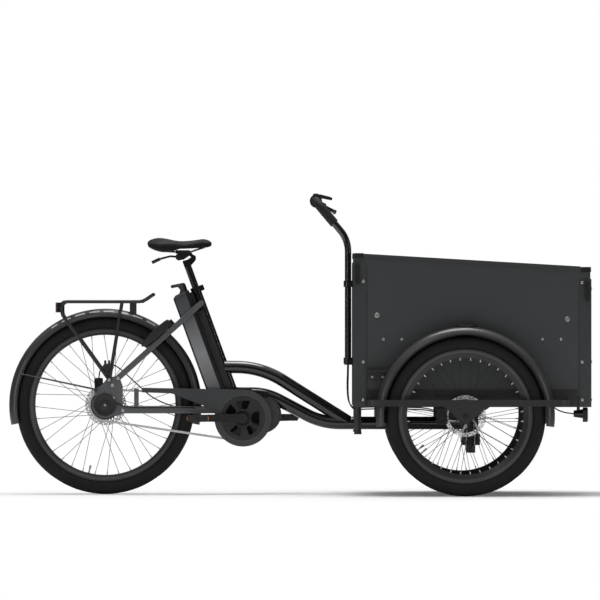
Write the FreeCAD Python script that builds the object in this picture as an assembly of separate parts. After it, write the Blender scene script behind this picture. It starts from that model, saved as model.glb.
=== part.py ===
import FreeCAD, Part
import math
import os

# Cargo tricycle: a rear frame with motor, rear wheel and saddle, and a front module
# (cargo box, two wheels, handlebar) that swivels on a kingpin.
# Millimetres, +X forward, +Y to the rider's left, +Z up, ground at Z = 0.

# Driving dimensions: wheels and their places
rear_bead = 584.0
front_bead = 507.0
tyre_height = 55.5
wheelbase = 1396.0
rear_axle_x = -756.0
wheel_room = 68.0
spoke_count = 36

# Driving dimensions: drive train
crank_length = 175.0
crank_height = 297.0
chain_pitch = 12.7
ring_teeth = 44
sprocket_teeth = 30
chain_links = 122
chain_line = 50.0

# Driving dimensions: rear frame
seat_lean = math.radians(20.0)
seat_tube_radius = 17.0
seat_tube_top = 543.0
frame_tube_radius = 25.0
upper_tube_height = 495.0
main_tube_height = 392.0
low_tube_height = 277.0
kingpin_lead = 28.0
kingpin_radius = 15.0
dropout_half = 62.0
dropout_thick = 6.0

# Driving dimensions: cargo box
box_rear = 207.0
box_length = 921.0
box_half = 310.0
box_base = 343.0
base_rail_height = 43.0
box_top_rear = 938.0
box_top_front = 884.0
panel_thick = 12.0
post_thick = 4.0

# Driving dimensions: handlebar
bar_radius = 11.1
leg_inset = 40.0
leg_x = 190.0
leg_bottom = 507.0
leg_corner_height = 992.0
crossbar_x = 64.5
crossbar_height = 1141.0

# Fits shared by all pieces
overrun = 2.0
running_gap = 0.05
free_gap = 0.4

# Places that follow from the driving dimensions
rear_radius = rear_bead / 2 + tyre_height
front_radius = front_bead / 2 + tyre_height
front_axle_x = rear_axle_x + wheelbase
kingpin_x = front_axle_x + kingpin_lead
wheel_half = box_half + wheel_room
leg_half = box_half - leg_inset
box_front = box_rear + box_length
panel_rear = box_rear + post_thick
panel_front = box_front - post_thick
floor_level = box_base + base_rail_height
dropout_outer = dropout_half + dropout_thick


# Basic shapes

def vec(x, y, z):
    return FreeCAD.Vector(x, y, z)


def block(x0, x1, y0, y1, z0, z1):
    return Part.makeBox(x1 - x0, y1 - y0, z1 - z0, vec(x0, y0, z0))


def rod(start, end, radius):
    return Part.makeCylinder(radius, (end - start).Length, start, end - start)


def cross_rod(x, z, y0, y1, radius):
    return rod(vec(x, y0, z), vec(x, y1, z), radius)


def bush(x, z, y0, y1, outer, inner):
    hole = cross_rod(x, z, y0 - overrun, y1 + overrun, inner)
    return cross_rod(x, z, y0, y1, outer).cut(hole)


def mirrored(shape):
    return shape.mirror(vec(0, 0, 0), vec(0, 1, 0))


def both_sides(shape):
    return [shape, mirrored(shape)]


def joined(shapes):
    return shapes[0].multiFuse(shapes[1:]).removeSplitter()


def outline(points, radii, place):
    # closed outline with a rounded corner at each point
    flat = [vec(a, b, 0) for a, b in points]
    count = len(flat)
    edges = []
    rounds = []
    for i in range(count):
        back = (flat[i - 1] - flat[i]).normalize()
        ahead = (flat[(i + 1) % count] - flat[i]).normalize()
        turn = math.pi - back.getAngle(ahead)
        reach = radii[i] * math.tan(turn / 2)
        start = flat[i] + back * reach
        end = flat[i] + ahead * reach
        inward = (back + ahead).normalize()
        middle = flat[i] + inward * (radii[i] / math.cos(turn / 2) - radii[i])
        rounds.append((start, middle, end))
    for i in range(count):
        before = place(rounds[i - 1][2].x, rounds[i - 1][2].y)
        start, middle, end = [place(p.x, p.y) for p in rounds[i]]
        if (start - before).Length > running_gap:
            edges.append(Part.LineSegment(before, start).toShape())
        if radii[i] > 0:
            edges.append(Part.Arc(start, middle, end).toShape())
    return Part.Wire(edges)


def shared(shares, size, a, b):
    # outline points at shares of one size, from a given place
    return [(a + p * size, b + q * size) for p, q in shares]


def rounded(shares, size):
    return [share * size for share in shares]


def side_slab(points, radii, y0, y1):
    wire = outline(points, radii, lambda a, b: vec(a, y0, b))
    return Part.Face(wire).extrude(vec(0, y1 - y0, 0))


def plan_slab(points, radii, z0, z1):
    wire = outline(points, radii, lambda a, b: vec(a, b, z0))
    return Part.Face(wire).extrude(vec(0, 0, z1 - z0))


def front_slab(points, radii, x0, x1):
    wire = outline(points, radii, lambda a, b: vec(x0, a, b))
    return Part.Face(wire).extrude(vec(x1 - x0, 0, 0))


def route(points, radii):
    # open path of straight runs and tangent arcs
    edges = []
    last = points[0]
    for i in range(1, len(points) - 1):
        back = (points[i - 1] - points[i]).normalize()
        ahead = (points[i + 1] - points[i]).normalize()
        turn = math.pi - back.getAngle(ahead)
        reach = radii[i - 1] * math.tan(turn / 2)
        start = points[i] + back * reach
        end = points[i] + ahead * reach
        inward = (back + ahead).normalize()
        middle = points[i] + inward * (radii[i - 1] / math.cos(turn / 2) - radii[i - 1])
        if (start - last).Length > running_gap:
            edges.append(Part.LineSegment(last, start).toShape())
        edges.append(Part.Arc(start, middle, end).toShape())
        last = end
    edges.append(Part.LineSegment(last, points[-1]).toShape())
    return Part.Wire(edges)


def sweep(points, radii, radius):
    circle = Part.Wire(Part.makeCircle(radius, points[0], points[1] - points[0]))
    return route(points, radii).makePipeShell([circle], True, False)


def cord(points, radius):
    # hose with each bend as large as its two runs allow
    radii = []
    for i in range(1, len(points) - 1):
        back = points[i - 1] - points[i]
        ahead = points[i + 1] - points[i]
        turn = math.pi - back.getAngle(ahead)
        shorter = min(back.Length, ahead.Length)
        radii.append(cord_bend_share * shorter / math.tan(turn / 2))
    print("hose bend radii", [round(r, 1) for r in radii])
    tube = sweep(points, radii, radius)
    section = math.pi * radius * radius
    print("hose volume over section times length", tube.Volume / (section * route(points, radii).Length))
    return tube


cord_bend_share = 0.45


def spun(corners, centre):
    # turned piece: corners are (offset along the axle, radius)
    points = [centre + vec(0, a, b) for a, b in corners]
    face = Part.Face(Part.makePolygon(points + points[:1]))
    return face.revolve(centre, vec(0, 1, 0), 360)


def dome_head(point, direction, radius, height):
    # button head seated on a face, crown along direction
    head = Part.makeCylinder(radius, height, point, direction)
    crown = [e for e in head.Edges if (e.CenterOfMass - point).Length > height / 2 and e.isClosed()]
    return head.makeFillet(height * dome_share, crown[:1])


dome_share = 0.7

# Chain drive geometry: rollers of the chain, and where the crank has to stand so that it closes

ring_radius = chain_pitch / (2 * math.sin(math.pi / ring_teeth))
sprocket_radius = chain_pitch / (2 * math.sin(math.pi / sprocket_teeth))


def links_needed(distance):
    lean = math.asin((ring_radius - sprocket_radius) / distance)
    run = distance * math.cos(lean)
    on_ring = (math.pi + 2 * lean) * ring_teeth / (2 * math.pi)
    on_sprocket = (math.pi - 2 * lean) * sprocket_teeth / (2 * math.pi)
    return 2 * run / chain_pitch + on_ring + on_sprocket


def centre_distance():
    low = ring_radius + sprocket_radius
    high = low + chain_links * chain_pitch
    for _ in range(80):
        middle = (low + high) / 2
        if links_needed(middle) < chain_links:
            low = middle
        else:
            high = middle
    return (low + high) / 2


drive_distance = centre_distance()
drive_rise = rear_radius - crank_height
crank_x = rear_axle_x + math.sqrt(drive_distance ** 2 - drive_rise ** 2)
rear_axle = vec(rear_axle_x, 0, rear_radius)
crank_axis = vec(crank_x, 0, crank_height)
backward = (rear_axle - crank_axis).normalize()
upward = vec(backward.z, 0, -backward.x)
drive_lean = math.asin((ring_radius - sprocket_radius) / drive_distance)
run_links = drive_distance * math.cos(drive_lean) / chain_pitch
sprocket_links = (math.pi - 2 * drive_lean) * sprocket_teeth / (2 * math.pi)


def around(centre, radius, angle):
    return centre + backward * (radius * math.cos(angle)) + upward * (radius * math.sin(angle))


def roller_place(s):
    # centre of the roller s pitches along the loop, from the top of the chainring backwards
    top = math.pi / 2 - drive_lean
    if s < run_links:
        start = around(crank_axis, ring_radius, top)
        end = around(rear_axle, sprocket_radius, top)
        return start + (end - start) * (s / run_links)
    s -= run_links
    if s < sprocket_links:
        return around(rear_axle, sprocket_radius, top - s * 2 * math.pi / sprocket_teeth)
    s -= sprocket_links
    if s < run_links:
        start = around(rear_axle, sprocket_radius, -top)
        end = around(crank_axis, ring_radius, -top)
        return start + (end - start) * (s / run_links)
    s -= run_links
    return around(crank_axis, ring_radius, -top - s * 2 * math.pi / ring_teeth)


def gap_angle_on_sprocket():
    first = math.ceil(run_links)
    return math.pi / 2 - drive_lean - (first - run_links) * 2 * math.pi / sprocket_teeth


def gap_angle_on_ring():
    before = 2 * run_links + sprocket_links
    first = math.ceil(before)
    return -(math.pi / 2 - drive_lean) - (first - before) * 2 * math.pi / ring_teeth


# Frame of the seat tube: u up along the tube from the crank axis, v straight behind it

def seat_point(u, v, y):
    x = crank_x - u * math.sin(seat_lean) - v * math.cos(seat_lean)
    z = crank_height + u * math.cos(seat_lean) - v * math.sin(seat_lean)
    return vec(x, y, z)


def seat_slab(points, radii, y0, y1):
    wire = outline(points, radii, lambda u, v: seat_point(u, v, y0))
    return Part.Face(wire).extrude(vec(0, y1 - y0, 0))


# Wheels

rim_flange = 6.0
rim_wall = 2.5
bead_half = 16.5
tyre_wall = 5.0
spoke_radius = 1.0
nipple_radius = 2.2
nipple_length = 14.0
nipple_seat = 3.0


def tyre(centre, bead):
    seat = bead / 2 + running_gap
    shoulder = seat + rim_flange + free_gap
    crown = bead / 2 + tyre_height
    inner = bead_half - tyre_wall

    def at(a, b):
        return centre + vec(0, a, b)

    outer_arc = Part.Arc(at(-bead_half, shoulder), at(0, crown), at(bead_half, shoulder))
    inner_arc = Part.Arc(at(inner, shoulder), at(0, crown - tyre_wall), at(-inner, shoulder))
    edges = [
        Part.LineSegment(at(-bead_half, seat), at(-bead_half, shoulder)).toShape(),
        outer_arc.toShape(),
        Part.LineSegment(at(bead_half, shoulder), at(bead_half, seat)).toShape(),
        Part.LineSegment(at(bead_half, seat), at(inner, seat)).toShape(),
        Part.LineSegment(at(inner, seat), at(inner, shoulder)).toShape(),
        inner_arc.toShape(),
        Part.LineSegment(at(-inner, shoulder), at(-inner, seat)).toShape(),
        Part.LineSegment(at(-inner, seat), at(-bead_half, seat)).toShape(),
    ]
    return Part.Face(Part.Wire(edges)).revolve(centre, vec(0, 1, 0), 360)


def rim(centre, bead, depth):
    seat = bead / 2
    half = bead_half + free_gap
    outer = half + rim_wall
    well = bead_half - tyre_wall - overrun
    brow = seat - rim_wall
    nose_half = outer / 2
    corners = [
        (outer, seat + rim_flange), (outer, brow), (nose_half, seat - depth),
        (-nose_half, seat - depth), (-outer, brow), (-outer, seat + rim_flange),
        (-half, seat + rim_flange), (-half, seat), (-well, seat), (-well, brow),
        (well, brow), (well, seat), (half, seat), (half, seat + rim_flange),
    ]
    return spun(corners, centre)


def spokes(centre, bead, depth, hole_radius, flange_offset, lean, phase):
    rim_end = bead / 2 - depth + nipple_seat
    weave = 2.4
    rim_spread = 3.0
    elbow_half = 3.0
    elbow_bend_radius = 1.5
    made = []
    for i in range(spoke_count):
        side = 1 if i % 2 == 0 else -1
        turn = 1 if (i // 2) % 2 == 0 else -1
        rim_angle = phase + 2 * math.pi * (i + 0.5) / spoke_count
        hub_angle = rim_angle + turn * lean
        hole_y = side * flange_offset
        foot = centre + vec(hole_radius * math.sin(hub_angle), hole_y + turn * weave,
                            hole_radius * math.cos(hub_angle))
        tip = centre + vec(rim_end * math.sin(rim_angle), side * rim_spread, rim_end * math.cos(rim_angle))
        along = (tip - foot).normalize()
        elbow = vec(foot.x, centre.y + hole_y - turn * elbow_half, foot.z)
        thread = tip - along * nipple_length
        wire = sweep([elbow, foot, thread], [elbow_bend_radius], spoke_radius)
        nipple = rod(thread, tip, nipple_radius)
        made.append(wire.fuse(nipple))
    return made


def hub(centre, bore, hole_radius, flange_offset, shell, half_length, end_radius):
    flange_half = 2.0
    edge = hole_radius + nipple_seat + flange_half
    inside = flange_offset - flange_half
    outside = flange_offset + flange_half
    corners = [
        (-half_length, bore), (-half_length, end_radius), (-outside, end_radius + flange_half),
        (-outside, edge), (-inside, edge), (-inside, shell), (inside, shell), (inside, edge),
        (outside, edge), (outside, end_radius + flange_half), (half_length, end_radius), (half_length, bore),
    ]
    return spun(corners, centre)


rotor_radius = 80.0
rotor_band = 15.0
rotor_thick = 2.0
rotor_eye = 24.0


def rotor(centre, y0, bore):
    # braking band with drilled holes on swept arms
    arm_count = 6
    arm_width = 9.0
    hole_radius = 2.5
    hole_count = 24
    y1 = y0 + rotor_thick
    inner = rotor_radius - rotor_band
    band = bush(centre.x, centre.z, y0, y1, rotor_radius, inner)
    eye = bush(centre.x, centre.z, y0, y1, rotor_eye, bore)
    arms = []
    reach = math.sqrt((inner + rotor_band / 3) ** 2 - (rotor_eye - arm_width) ** 2)
    for i in range(arm_count):
        arm = block(centre.x, centre.x + reach, y0, y1,
                    centre.z + rotor_eye - arm_width, centre.z + rotor_eye - arm_width + arm_width)
        arm.rotate(centre, vec(0, 1, 0), 360 * i / arm_count)
        arms.append(arm.cut(cross_rod(centre.x, centre.z, y0 - overrun, y1 + overrun, bore + overrun)))
    plate = joined([band, eye] + arms)
    holes = []
    for i in range(hole_count):
        for row in (0, 1):
            angle = 2 * math.pi * (i + row / 2) / hole_count
            radius = inner + rotor_band * (row + 1) / 3
            holes.append(cross_rod(centre.x + radius * math.cos(angle), centre.z + radius * math.sin(angle),
                                   y0 - overrun, y1 + overrun, hole_radius))
    return plate.cut(Part.makeCompound(holes))


def mudguard(centre, crown, lip, half, wall, start, turn):
    def at(a, b):
        return centre + vec(0, a, b)

    edges = [
        Part.Arc(at(-half, lip), at(0, crown), at(half, lip)).toShape(),
        Part.LineSegment(at(half, lip), at(half - wall, lip)).toShape(),
        Part.Arc(at(half - wall, lip), at(0, crown - wall), at(-half + wall, lip)).toShape(),
        Part.LineSegment(at(-half + wall, lip), at(-half, lip)).toShape(),
    ]
    face = Part.Face(Part.Wire(edges))
    face.rotate(centre, vec(0, 1, 0), start)
    return face.revolve(centre, vec(0, 1, 0), turn)


# Rear wheel

rear_axle_radius = 5.0
rear_rim_depth = 19.0
rear_hole_radius = 44.0
rear_flange_offset = 29.0
rear_hub_half = 38.0
rear_rotor_y = 44.0
rear_spoke_lean = math.radians(48.0)


def rear_wheel():
    bore = rear_axle_radius + running_gap
    shell = 39.0
    boss = 28.0
    body = hub(rear_axle, bore, rear_hole_radius, rear_flange_offset, shell, rear_hub_half, boss)
    carrier = bush(rear_axle.x, rear_axle.z, rear_hub_half, rear_rotor_y + rotor_thick,
                   rotor_eye - overrun, bore)
    return {
        "rear_tyre": [tyre(rear_axle, rear_bead)],
        "rear_rim": [rim(rear_axle, rear_bead, rear_rim_depth)],
        "rear_spokes": spokes(rear_axle, rear_bead, rear_rim_depth, rear_hole_radius,
                              rear_flange_offset, rear_spoke_lean, lock_bearing()),
        "rear_hub": [joined([body, carrier])],
        "rear_rotor": [rotor(rear_axle, rear_rotor_y, rotor_eye - overrun)],
    }


def rear_axle_bar():
    end = 80.0
    lock_nut = 10.0
    nut = 9.5
    nut_length = 9.0
    sprocket_face = chain_line + sprocket_boss + free_gap
    rotor_face = rear_rotor_y + rotor_thick + free_gap
    bar = cross_rod(rear_axle.x, rear_axle.z, -end, end, rear_axle_radius)
    right = cross_rod(rear_axle.x, rear_axle.z, -dropout_half, -sprocket_face, lock_nut)
    left = cross_rod(rear_axle.x, rear_axle.z, rotor_face, dropout_half, lock_nut)
    nuts = []
    for side in (-1, 1):
        y = side * dropout_outer
        nuts.append(cross_rod(rear_axle.x, rear_axle.z, min(y, y + side * nut_length),
                              max(y, y + side * nut_length), nut))
    return [joined([bar, right, left] + nuts)]


# Chain, sprocket, chainring

roller_radius = 3.8
roller_seat_gap = 0.3
tooth_thick = 2.2
sprocket_boss = 5.0


def toothed_disc(centre, teeth, radius, first_gap, y0, y1):
    seat = roller_radius + roller_seat_gap
    tip_height = 2.8
    tip_half = 1.1
    step = 2 * math.pi / teeth
    bite = math.radians(60.0)
    edges = []
    corners = []
    for k in range(teeth):
        angle = first_gap - k * step
        roller = around(centre, radius, angle)
        inward = (centre - roller).normalize()
        ahead = around(vec(0, 0, 0), 1, angle - math.pi / 2)
        begin = roller + inward * (seat * math.cos(bite)) - ahead * (seat * math.sin(bite))
        finish = roller + inward * (seat * math.cos(bite)) + ahead * (seat * math.sin(bite))
        tip_angle = angle - step / 2
        tip_turn = tip_half / (radius + tip_height)
        tip_start = around(centre, radius + tip_height, tip_angle + tip_turn)
        tip_end = around(centre, radius + tip_height, tip_angle - tip_turn)
        corners.append((begin, roller + inward * seat, finish, tip_start, tip_end))
    for k in range(teeth):
        begin, low, finish, tip_start, tip_end = corners[k]
        following = corners[(k + 1) % teeth][0]
        edges.append(Part.Arc(begin, low, finish).toShape())
        edges.append(Part.LineSegment(finish, tip_start).toShape())
        edges.append(Part.LineSegment(tip_start, tip_end).toShape())
        edges.append(Part.LineSegment(tip_end, following).toShape())
    face = Part.Face(Part.Wire(edges))
    face.translate(vec(0, y0 - centre.y, 0))
    return face.extrude(vec(0, y1 - y0, 0))


def round_windows(centre, count, ring, radius, y0, y1):
    holes = []
    for i in range(count):
        angle = 2 * math.pi * i / count
        holes.append(cross_rod(centre.x + ring * math.cos(angle), centre.z + ring * math.sin(angle),
                               y0 - overrun, y1 + overrun, radius))
    return Part.makeCompound(holes)


def sprocket():
    y0 = -chain_line - tooth_thick / 2
    y1 = -chain_line + tooth_thick / 2
    window_count = 6
    window_radius = 10.0
    boss_radius = 24.0
    window_ring = (sprocket_radius + boss_radius) / 2
    bore = rear_axle_radius + running_gap
    disc = toothed_disc(rear_axle, sprocket_teeth, sprocket_radius, gap_angle_on_sprocket(), y0, y1)
    disc = disc.cut(round_windows(rear_axle, window_count, window_ring, window_radius, y0, y1))
    boss = cross_rod(rear_axle.x, rear_axle.z, -chain_line - sprocket_boss, -rear_hub_half - free_gap,
                     boss_radius)
    hole = cross_rod(rear_axle.x, rear_axle.z, -dropout_half, 0, bore)
    return [joined([disc, boss]).cut(hole)]


spindle_radius = 10.0


def chainring():
    y0 = -chain_line - tooth_thick / 2
    y1 = -chain_line + tooth_thick / 2
    window_count = 5
    window_radius = 22.0
    window_share = 0.6
    window_ring = ring_radius * window_share
    disc = toothed_disc(crank_axis, ring_teeth, ring_radius, gap_angle_on_ring(), y0, y1)
    disc = disc.cut(round_windows(crank_axis, window_count, window_ring, window_radius, y0, y1))
    hole = cross_rod(crank_axis.x, crank_axis.z, y0 - overrun, y1 + overrun, spindle_radius)
    return [disc.cut(hole)]


plate_radius = 4.2
plate_thick = 1.0
inner_half = 1.7
pin_radius = 1.8


def link_plate(y0):
    place = lambda a, b: vec(a, y0, b)
    up = place(0, plate_radius)
    edges = [
        Part.Arc(place(0, -plate_radius), place(-plate_radius, 0), up).toShape(),
        Part.LineSegment(up, place(chain_pitch, plate_radius)).toShape(),
        Part.Arc(place(chain_pitch, plate_radius), place(chain_pitch + plate_radius, 0),
                 place(chain_pitch, -plate_radius)).toShape(),
        Part.LineSegment(place(chain_pitch, -plate_radius), place(0, -plate_radius)).toShape(),
    ]
    return Part.Face(Part.Wire(edges)).extrude(vec(0, plate_thick, 0))


def inner_link():
    bore = pin_radius + 2 * running_gap
    edge = inner_half + plate_thick
    plates = [link_plate(-edge), link_plate(inner_half)]
    rollers = [cross_rod(x, 0, -inner_half, inner_half, roller_radius) for x in (0, chain_pitch)]
    holes = [cross_rod(x, 0, -edge - overrun, edge + overrun, bore) for x in (0, chain_pitch)]
    return joined(plates + rollers).cut(Part.makeCompound(holes))


def outer_link():
    face = inner_half + plate_thick + 2 * running_gap
    edge = face + plate_thick
    rivet = edge + plate_thick / 2
    plates = [link_plate(-edge), link_plate(face)]
    pins = [cross_rod(x, 0, -rivet, rivet, pin_radius) for x in (0, chain_pitch)]
    return joined(plates + pins)


def chain():
    kinds = [inner_link(), outer_link()]
    links = []
    for k in range(chain_links):
        start = roller_place(k)
        end = roller_place((k + 1) % chain_links)
        turn = math.degrees(math.atan2(start.z - end.z, end.x - start.x))
        link = kinds[k % 2].copy()
        link.rotate(vec(0, 0, 0), vec(0, 1, 0), turn)
        link.translate(start + vec(0, -chain_line, 0))
        links.append(link)
    return links


# Cranks and pedals

crank_inner = 76.0
crank_thick = 14.0
pedal_pin = 6.0
pedal_reach = 95.0
pedal_gap = 3.0


def crank_arm(side):
    # tapered forged arm; the right one points back, the left one forward
    root = 17.0
    end = 13.0
    pedal_x = crank_x + side * crank_length
    y0 = min(side * crank_inner, side * (crank_inner + crank_thick))
    y1 = y0 + crank_thick
    waist = [
        (crank_x, crank_height + root), (crank_x, crank_height - root),
        (pedal_x, crank_height - end), (pedal_x, crank_height + end),
    ]
    bar = side_slab(waist, [0, 0, 0, 0], y0, y1)
    big = cross_rod(crank_x, crank_height, y0, y1, root)
    small = cross_rod(pedal_x, crank_height, y0, y1, end)
    hole = cross_rod(crank_x, crank_height, y0 - overrun, y1 + overrun, spindle_radius)
    arm = joined([bar, big, small]).cut(hole)
    tip = side * (crank_inner + crank_thick)
    pin_end = tip + side * pedal_reach
    pin = cross_rod(pedal_x, crank_height, min(tip, pin_end), max(tip, pin_end), pedal_pin)
    return [arm, pin]


def cranks():
    reach = crank_inner + crank_thick
    spindle = cross_rod(crank_x, crank_height, -reach, reach, spindle_radius)
    spider = bush(crank_x, crank_height, -crank_inner, -chain_line - tooth_thick / 2, 2 * spindle_radius,
                  spindle_radius)
    return [spindle, spider] + crank_arm(-1) + crank_arm(1)


def pedal(side):
    # platform of two side bars on a barrel that turns on the pin
    length = 80.0
    height = 26.0
    barrel = 14.0
    bar_depth = 12.0
    cheek = 10.0
    corner = 6.0
    bore = pedal_pin + running_gap
    x = crank_x + side * crank_length
    start = crank_inner + crank_thick + pedal_gap
    width = pedal_reach - 2 * pedal_gap
    ends = sorted((side * start, side * (start + width)))
    low, high = crank_height - height / 2, crank_height + height / 2
    frame = [(x - length / 2, low), (x + length / 2, low), (x + length / 2, high), (x - length / 2, high)]
    body = side_slab(frame, [corner] * 4, ends[0], ends[1])
    for left, right in ((x - length / 2 + bar_depth, x - barrel), (x + barrel, x + length / 2 - bar_depth)):
        body = body.cut(block(left, right, ends[0] + cheek, ends[1] - cheek, low - overrun, high + overrun))
    return [body.cut(cross_rod(x, crank_height, ends[0] - overrun, ends[1] + overrun, bore))]


# Main frame

kingpin_housing_radius = 30.0
kingpin_flange_radius = 37.0
housing_low = 191.0
housing_flange_top = 235.0
housing_top = 318.0
post_radius = 13.6
post_bottom = 330.0
post_drop = 24.0
bracket_half = 36.0


def on_seat_tube(height):
    u = (height - crank_height) / math.cos(seat_lean)
    return seat_point(u, 0, 0)


def frame_tubes():
    upper_bend_ahead = 72.0
    upper_end_ahead = 416.0
    main_bend_ahead = 91.0
    low_bend_ahead = 309.0
    upper_bend = 340.0
    main_bend = 220.0
    low_bend = 280.0
    seat_foot = 75.0
    upper_start = on_seat_tube(upper_tube_height)
    main_start = on_seat_tube(main_tube_height)
    upper = sweep([upper_start, vec(crank_x + upper_bend_ahead, 0, upper_tube_height),
                   vec(crank_x + upper_end_ahead, 0, low_tube_height)], [upper_bend], frame_tube_radius)
    main = sweep([main_start, vec(crank_x + main_bend_ahead, 0, main_tube_height),
                  vec(crank_x + low_bend_ahead, 0, low_tube_height),
                  vec(kingpin_x, 0, low_tube_height)], [main_bend, low_bend], frame_tube_radius)
    seat = rod(seat_point(seat_foot, 0, 0), seat_point(seat_tube_top, 0, 0), seat_tube_radius)
    return [seat, upper, main]


def motor_bracket():
    # cast yoke that ties the seat tube, main tube and chainstays over the motor
    reach = 116.0
    point_shares = [(-1, 0.155), (-0.483, 0.155), (-0.414, 0.448), (-0.155, 0.672), (0.862, 0.707),
                    (0.862, 0.862), (-0.345, 1.052), (-1, 0.397)]
    round_shares = [0.034, 0.052, 0.086, 0.103, 0.034, 0.052, 0.121, 0.069]
    points = shared(point_shares, reach, crank_x, crank_height)
    return side_slab(points, rounded(round_shares, reach), -bracket_half, bracket_half)


def main_frame():
    housing = rod(vec(kingpin_x, 0, housing_low), vec(kingpin_x, 0, housing_top), kingpin_housing_radius)
    flange = rod(vec(kingpin_x, 0, housing_low), vec(kingpin_x, 0, housing_flange_top),
                 kingpin_flange_radius)
    welded = joined(frame_tubes() + [motor_bracket(), housing, flange])
    bore = rod(vec(kingpin_x, 0, housing_low - overrun), vec(kingpin_x, 0, housing_top + overrun),
               kingpin_radius + running_gap)
    post_bore = rod(seat_point(post_bottom - post_drop, 0, 0), seat_point(seat_tube_top + overrun, 0, 0),
                    post_radius + running_gap)
    return welded.cut(bore).cut(post_bore)


def seat_tube_core():
    # the whole tube without its bore, to trim what is welded to it
    return rod(seat_point(0, 0, 0), seat_point(seat_tube_top, 0, 0), seat_tube_radius)


def seat_clamp():
    height = 22.0
    wall = 5.0
    ear = 9.0
    ear_half = 8.0
    ear_corner = 3.0
    low = seat_tube_top - height
    ring = rod(seat_point(low, 0, 0), seat_point(seat_tube_top, 0, 0), seat_tube_radius + wall)
    ears = seat_slab([
        (low, -seat_tube_radius), (seat_tube_top, -seat_tube_radius),
        (seat_tube_top, -seat_tube_radius - wall - ear), (low, -seat_tube_radius - wall - ear),
    ], [0, 0, ear_corner, ear_corner], -ear_half, ear_half)
    core = rod(seat_point(low - overrun, 0, 0), seat_point(seat_tube_top + overrun, 0, 0), seat_tube_radius)
    return joined([ring, ears]).cut(core)


# Rear stays and dropouts

stay_ahead = 41.0
stay_rise = 97.5
chainstay_foot_ahead = 57.0
chainstay_rise = 32.0
chainstay_front_behind = 92.0
stay_x = rear_axle_x + stay_ahead
stay_z = rear_radius + stay_rise
chainstay_rear_x = rear_axle_x + chainstay_foot_ahead
chainstay_height = crank_height + chainstay_rise
stay_join = 476.0
stay_depth = 22.0
stay_wide = 12.0
chainstay_tall = 28.0
chainstay_wide = 14.0
chainstay_foot_half = dropout_half + dropout_thick / 2
chainstay_front_half = 40.0
chainstay_front_x = crank_x - chainstay_front_behind


def chainstay_side(x):
    # outer face of a chainstay, measured from the middle plane
    share = (x - chainstay_rear_x) / (chainstay_front_x - chainstay_rear_x)
    return chainstay_foot_half + (chainstay_front_half - chainstay_foot_half) * share + chainstay_wide / 2


def dropout(side):
    # plate with the round hub seat, an ear for the stays and one for the mudguard stay
    disc_radius = 52.0
    bolt_circle = 44.0
    groove = 3.5
    point_shares = [(-0.846, 1.192), (-0.269, 1.5), (0.231, 2.077), (1, 2.154), (1.269, 1.385),
                    (1.269, -0.692),
                    (0.692, -0.846), (-0.577, 0)]
    round_shares = [0.154, 0.192, 0.154, 0.154, 0.154, 0.154, 0.154, 0.077]
    inner, outer = dropout_half, dropout_outer
    y0, y1 = sorted((side * inner, side * outer))
    ax, az = rear_axle_x, rear_radius
    plate = side_slab(shared(point_shares, disc_radius, ax, az), rounded(round_shares, disc_radius), y0, y1)
    disc = cross_rod(ax, az, y0, y1, disc_radius)
    hole = cross_rod(ax, az, y0 - overrun, y1 + overrun, rear_axle_radius)
    ring_y = sorted((side * (outer - groove / 2), side * (outer + overrun)))
    ring = bush(ax, az, ring_y[0], ring_y[1], bolt_circle + groove, bolt_circle)
    keep = block(ax - overrun, ax + disc_radius + groove, ring_y[0], ring_y[1], az - disc_radius,
                 az + disc_radius)
    return joined([plate, disc]).cut(hole).cut(ring.cut(keep))


def stay_bar(start, end, tall, wide):
    # flat-sided tube from start to end, its tall side upright in side view
    along = (end - start).normalize()
    across = along.cross(vec(0, 1, 0)).normalize()
    level = across.cross(along).normalize()
    corners = []
    for a, b in ((-1, -1), (1, -1), (1, 1), (-1, 1)):
        corners.append(start + across * (a * tall / 2) + level * (b * wide / 2))
    face = Part.Face(Part.makePolygon(corners + corners[:1]))
    bar = face.extrude(end - start)
    long_edges = [e for e in bar.Edges if abs(e.Length - (end - start).Length) < running_gap]
    return bar.makeFillet(wide / 4, long_edges)


def rear_stays(frame, plates):
    top_half = 55.0
    bridge_radius = 11.0
    foot_half = chainstay_foot_half
    top = seat_point(stay_join, 0, 0)
    made = []
    bridge = cross_rod(top.x, top.z, -top_half - stay_wide / 2, top_half + stay_wide / 2, bridge_radius)
    seatstays = [bridge]
    for side in (-1, 1):
        seatstays.append(stay_bar(vec(stay_x, side * foot_half, stay_z),
                                  vec(top.x, side * top_half, top.z), stay_depth, stay_wide))
        chainstay = stay_bar(vec(chainstay_rear_x, side * foot_half, chainstay_height),
                             vec(chainstay_front_x, side * chainstay_front_half, chainstay_height),
                             chainstay_tall, chainstay_wide)
        if side < 0:
            chainstay = joined([chainstay, guard_post()])
        made.append(chainstay.cut(frame).cut(plates))
    yoke = joined(seatstays).cut(frame).cut(plates).cut(seat_tube_core())
    return made + yoke.Solids


def guard_post():
    # upright on the right chainstay that carries the tail of the chain guard
    ahead = 122.0
    half = 9.0
    depth = 6.0
    over = 4.0
    x = rear_axle_x + ahead
    high = crank_height + guard_radius + over
    return block(x - half, x + half, -guard_outer - depth, -guard_outer, chainstay_height, high)


# Motor and chain guard

motor_right = 40.0
motor_left = 60.0
lobe_ahead = 75.0
lobe_rise = 15.0
lobe_radius = 74.0


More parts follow.
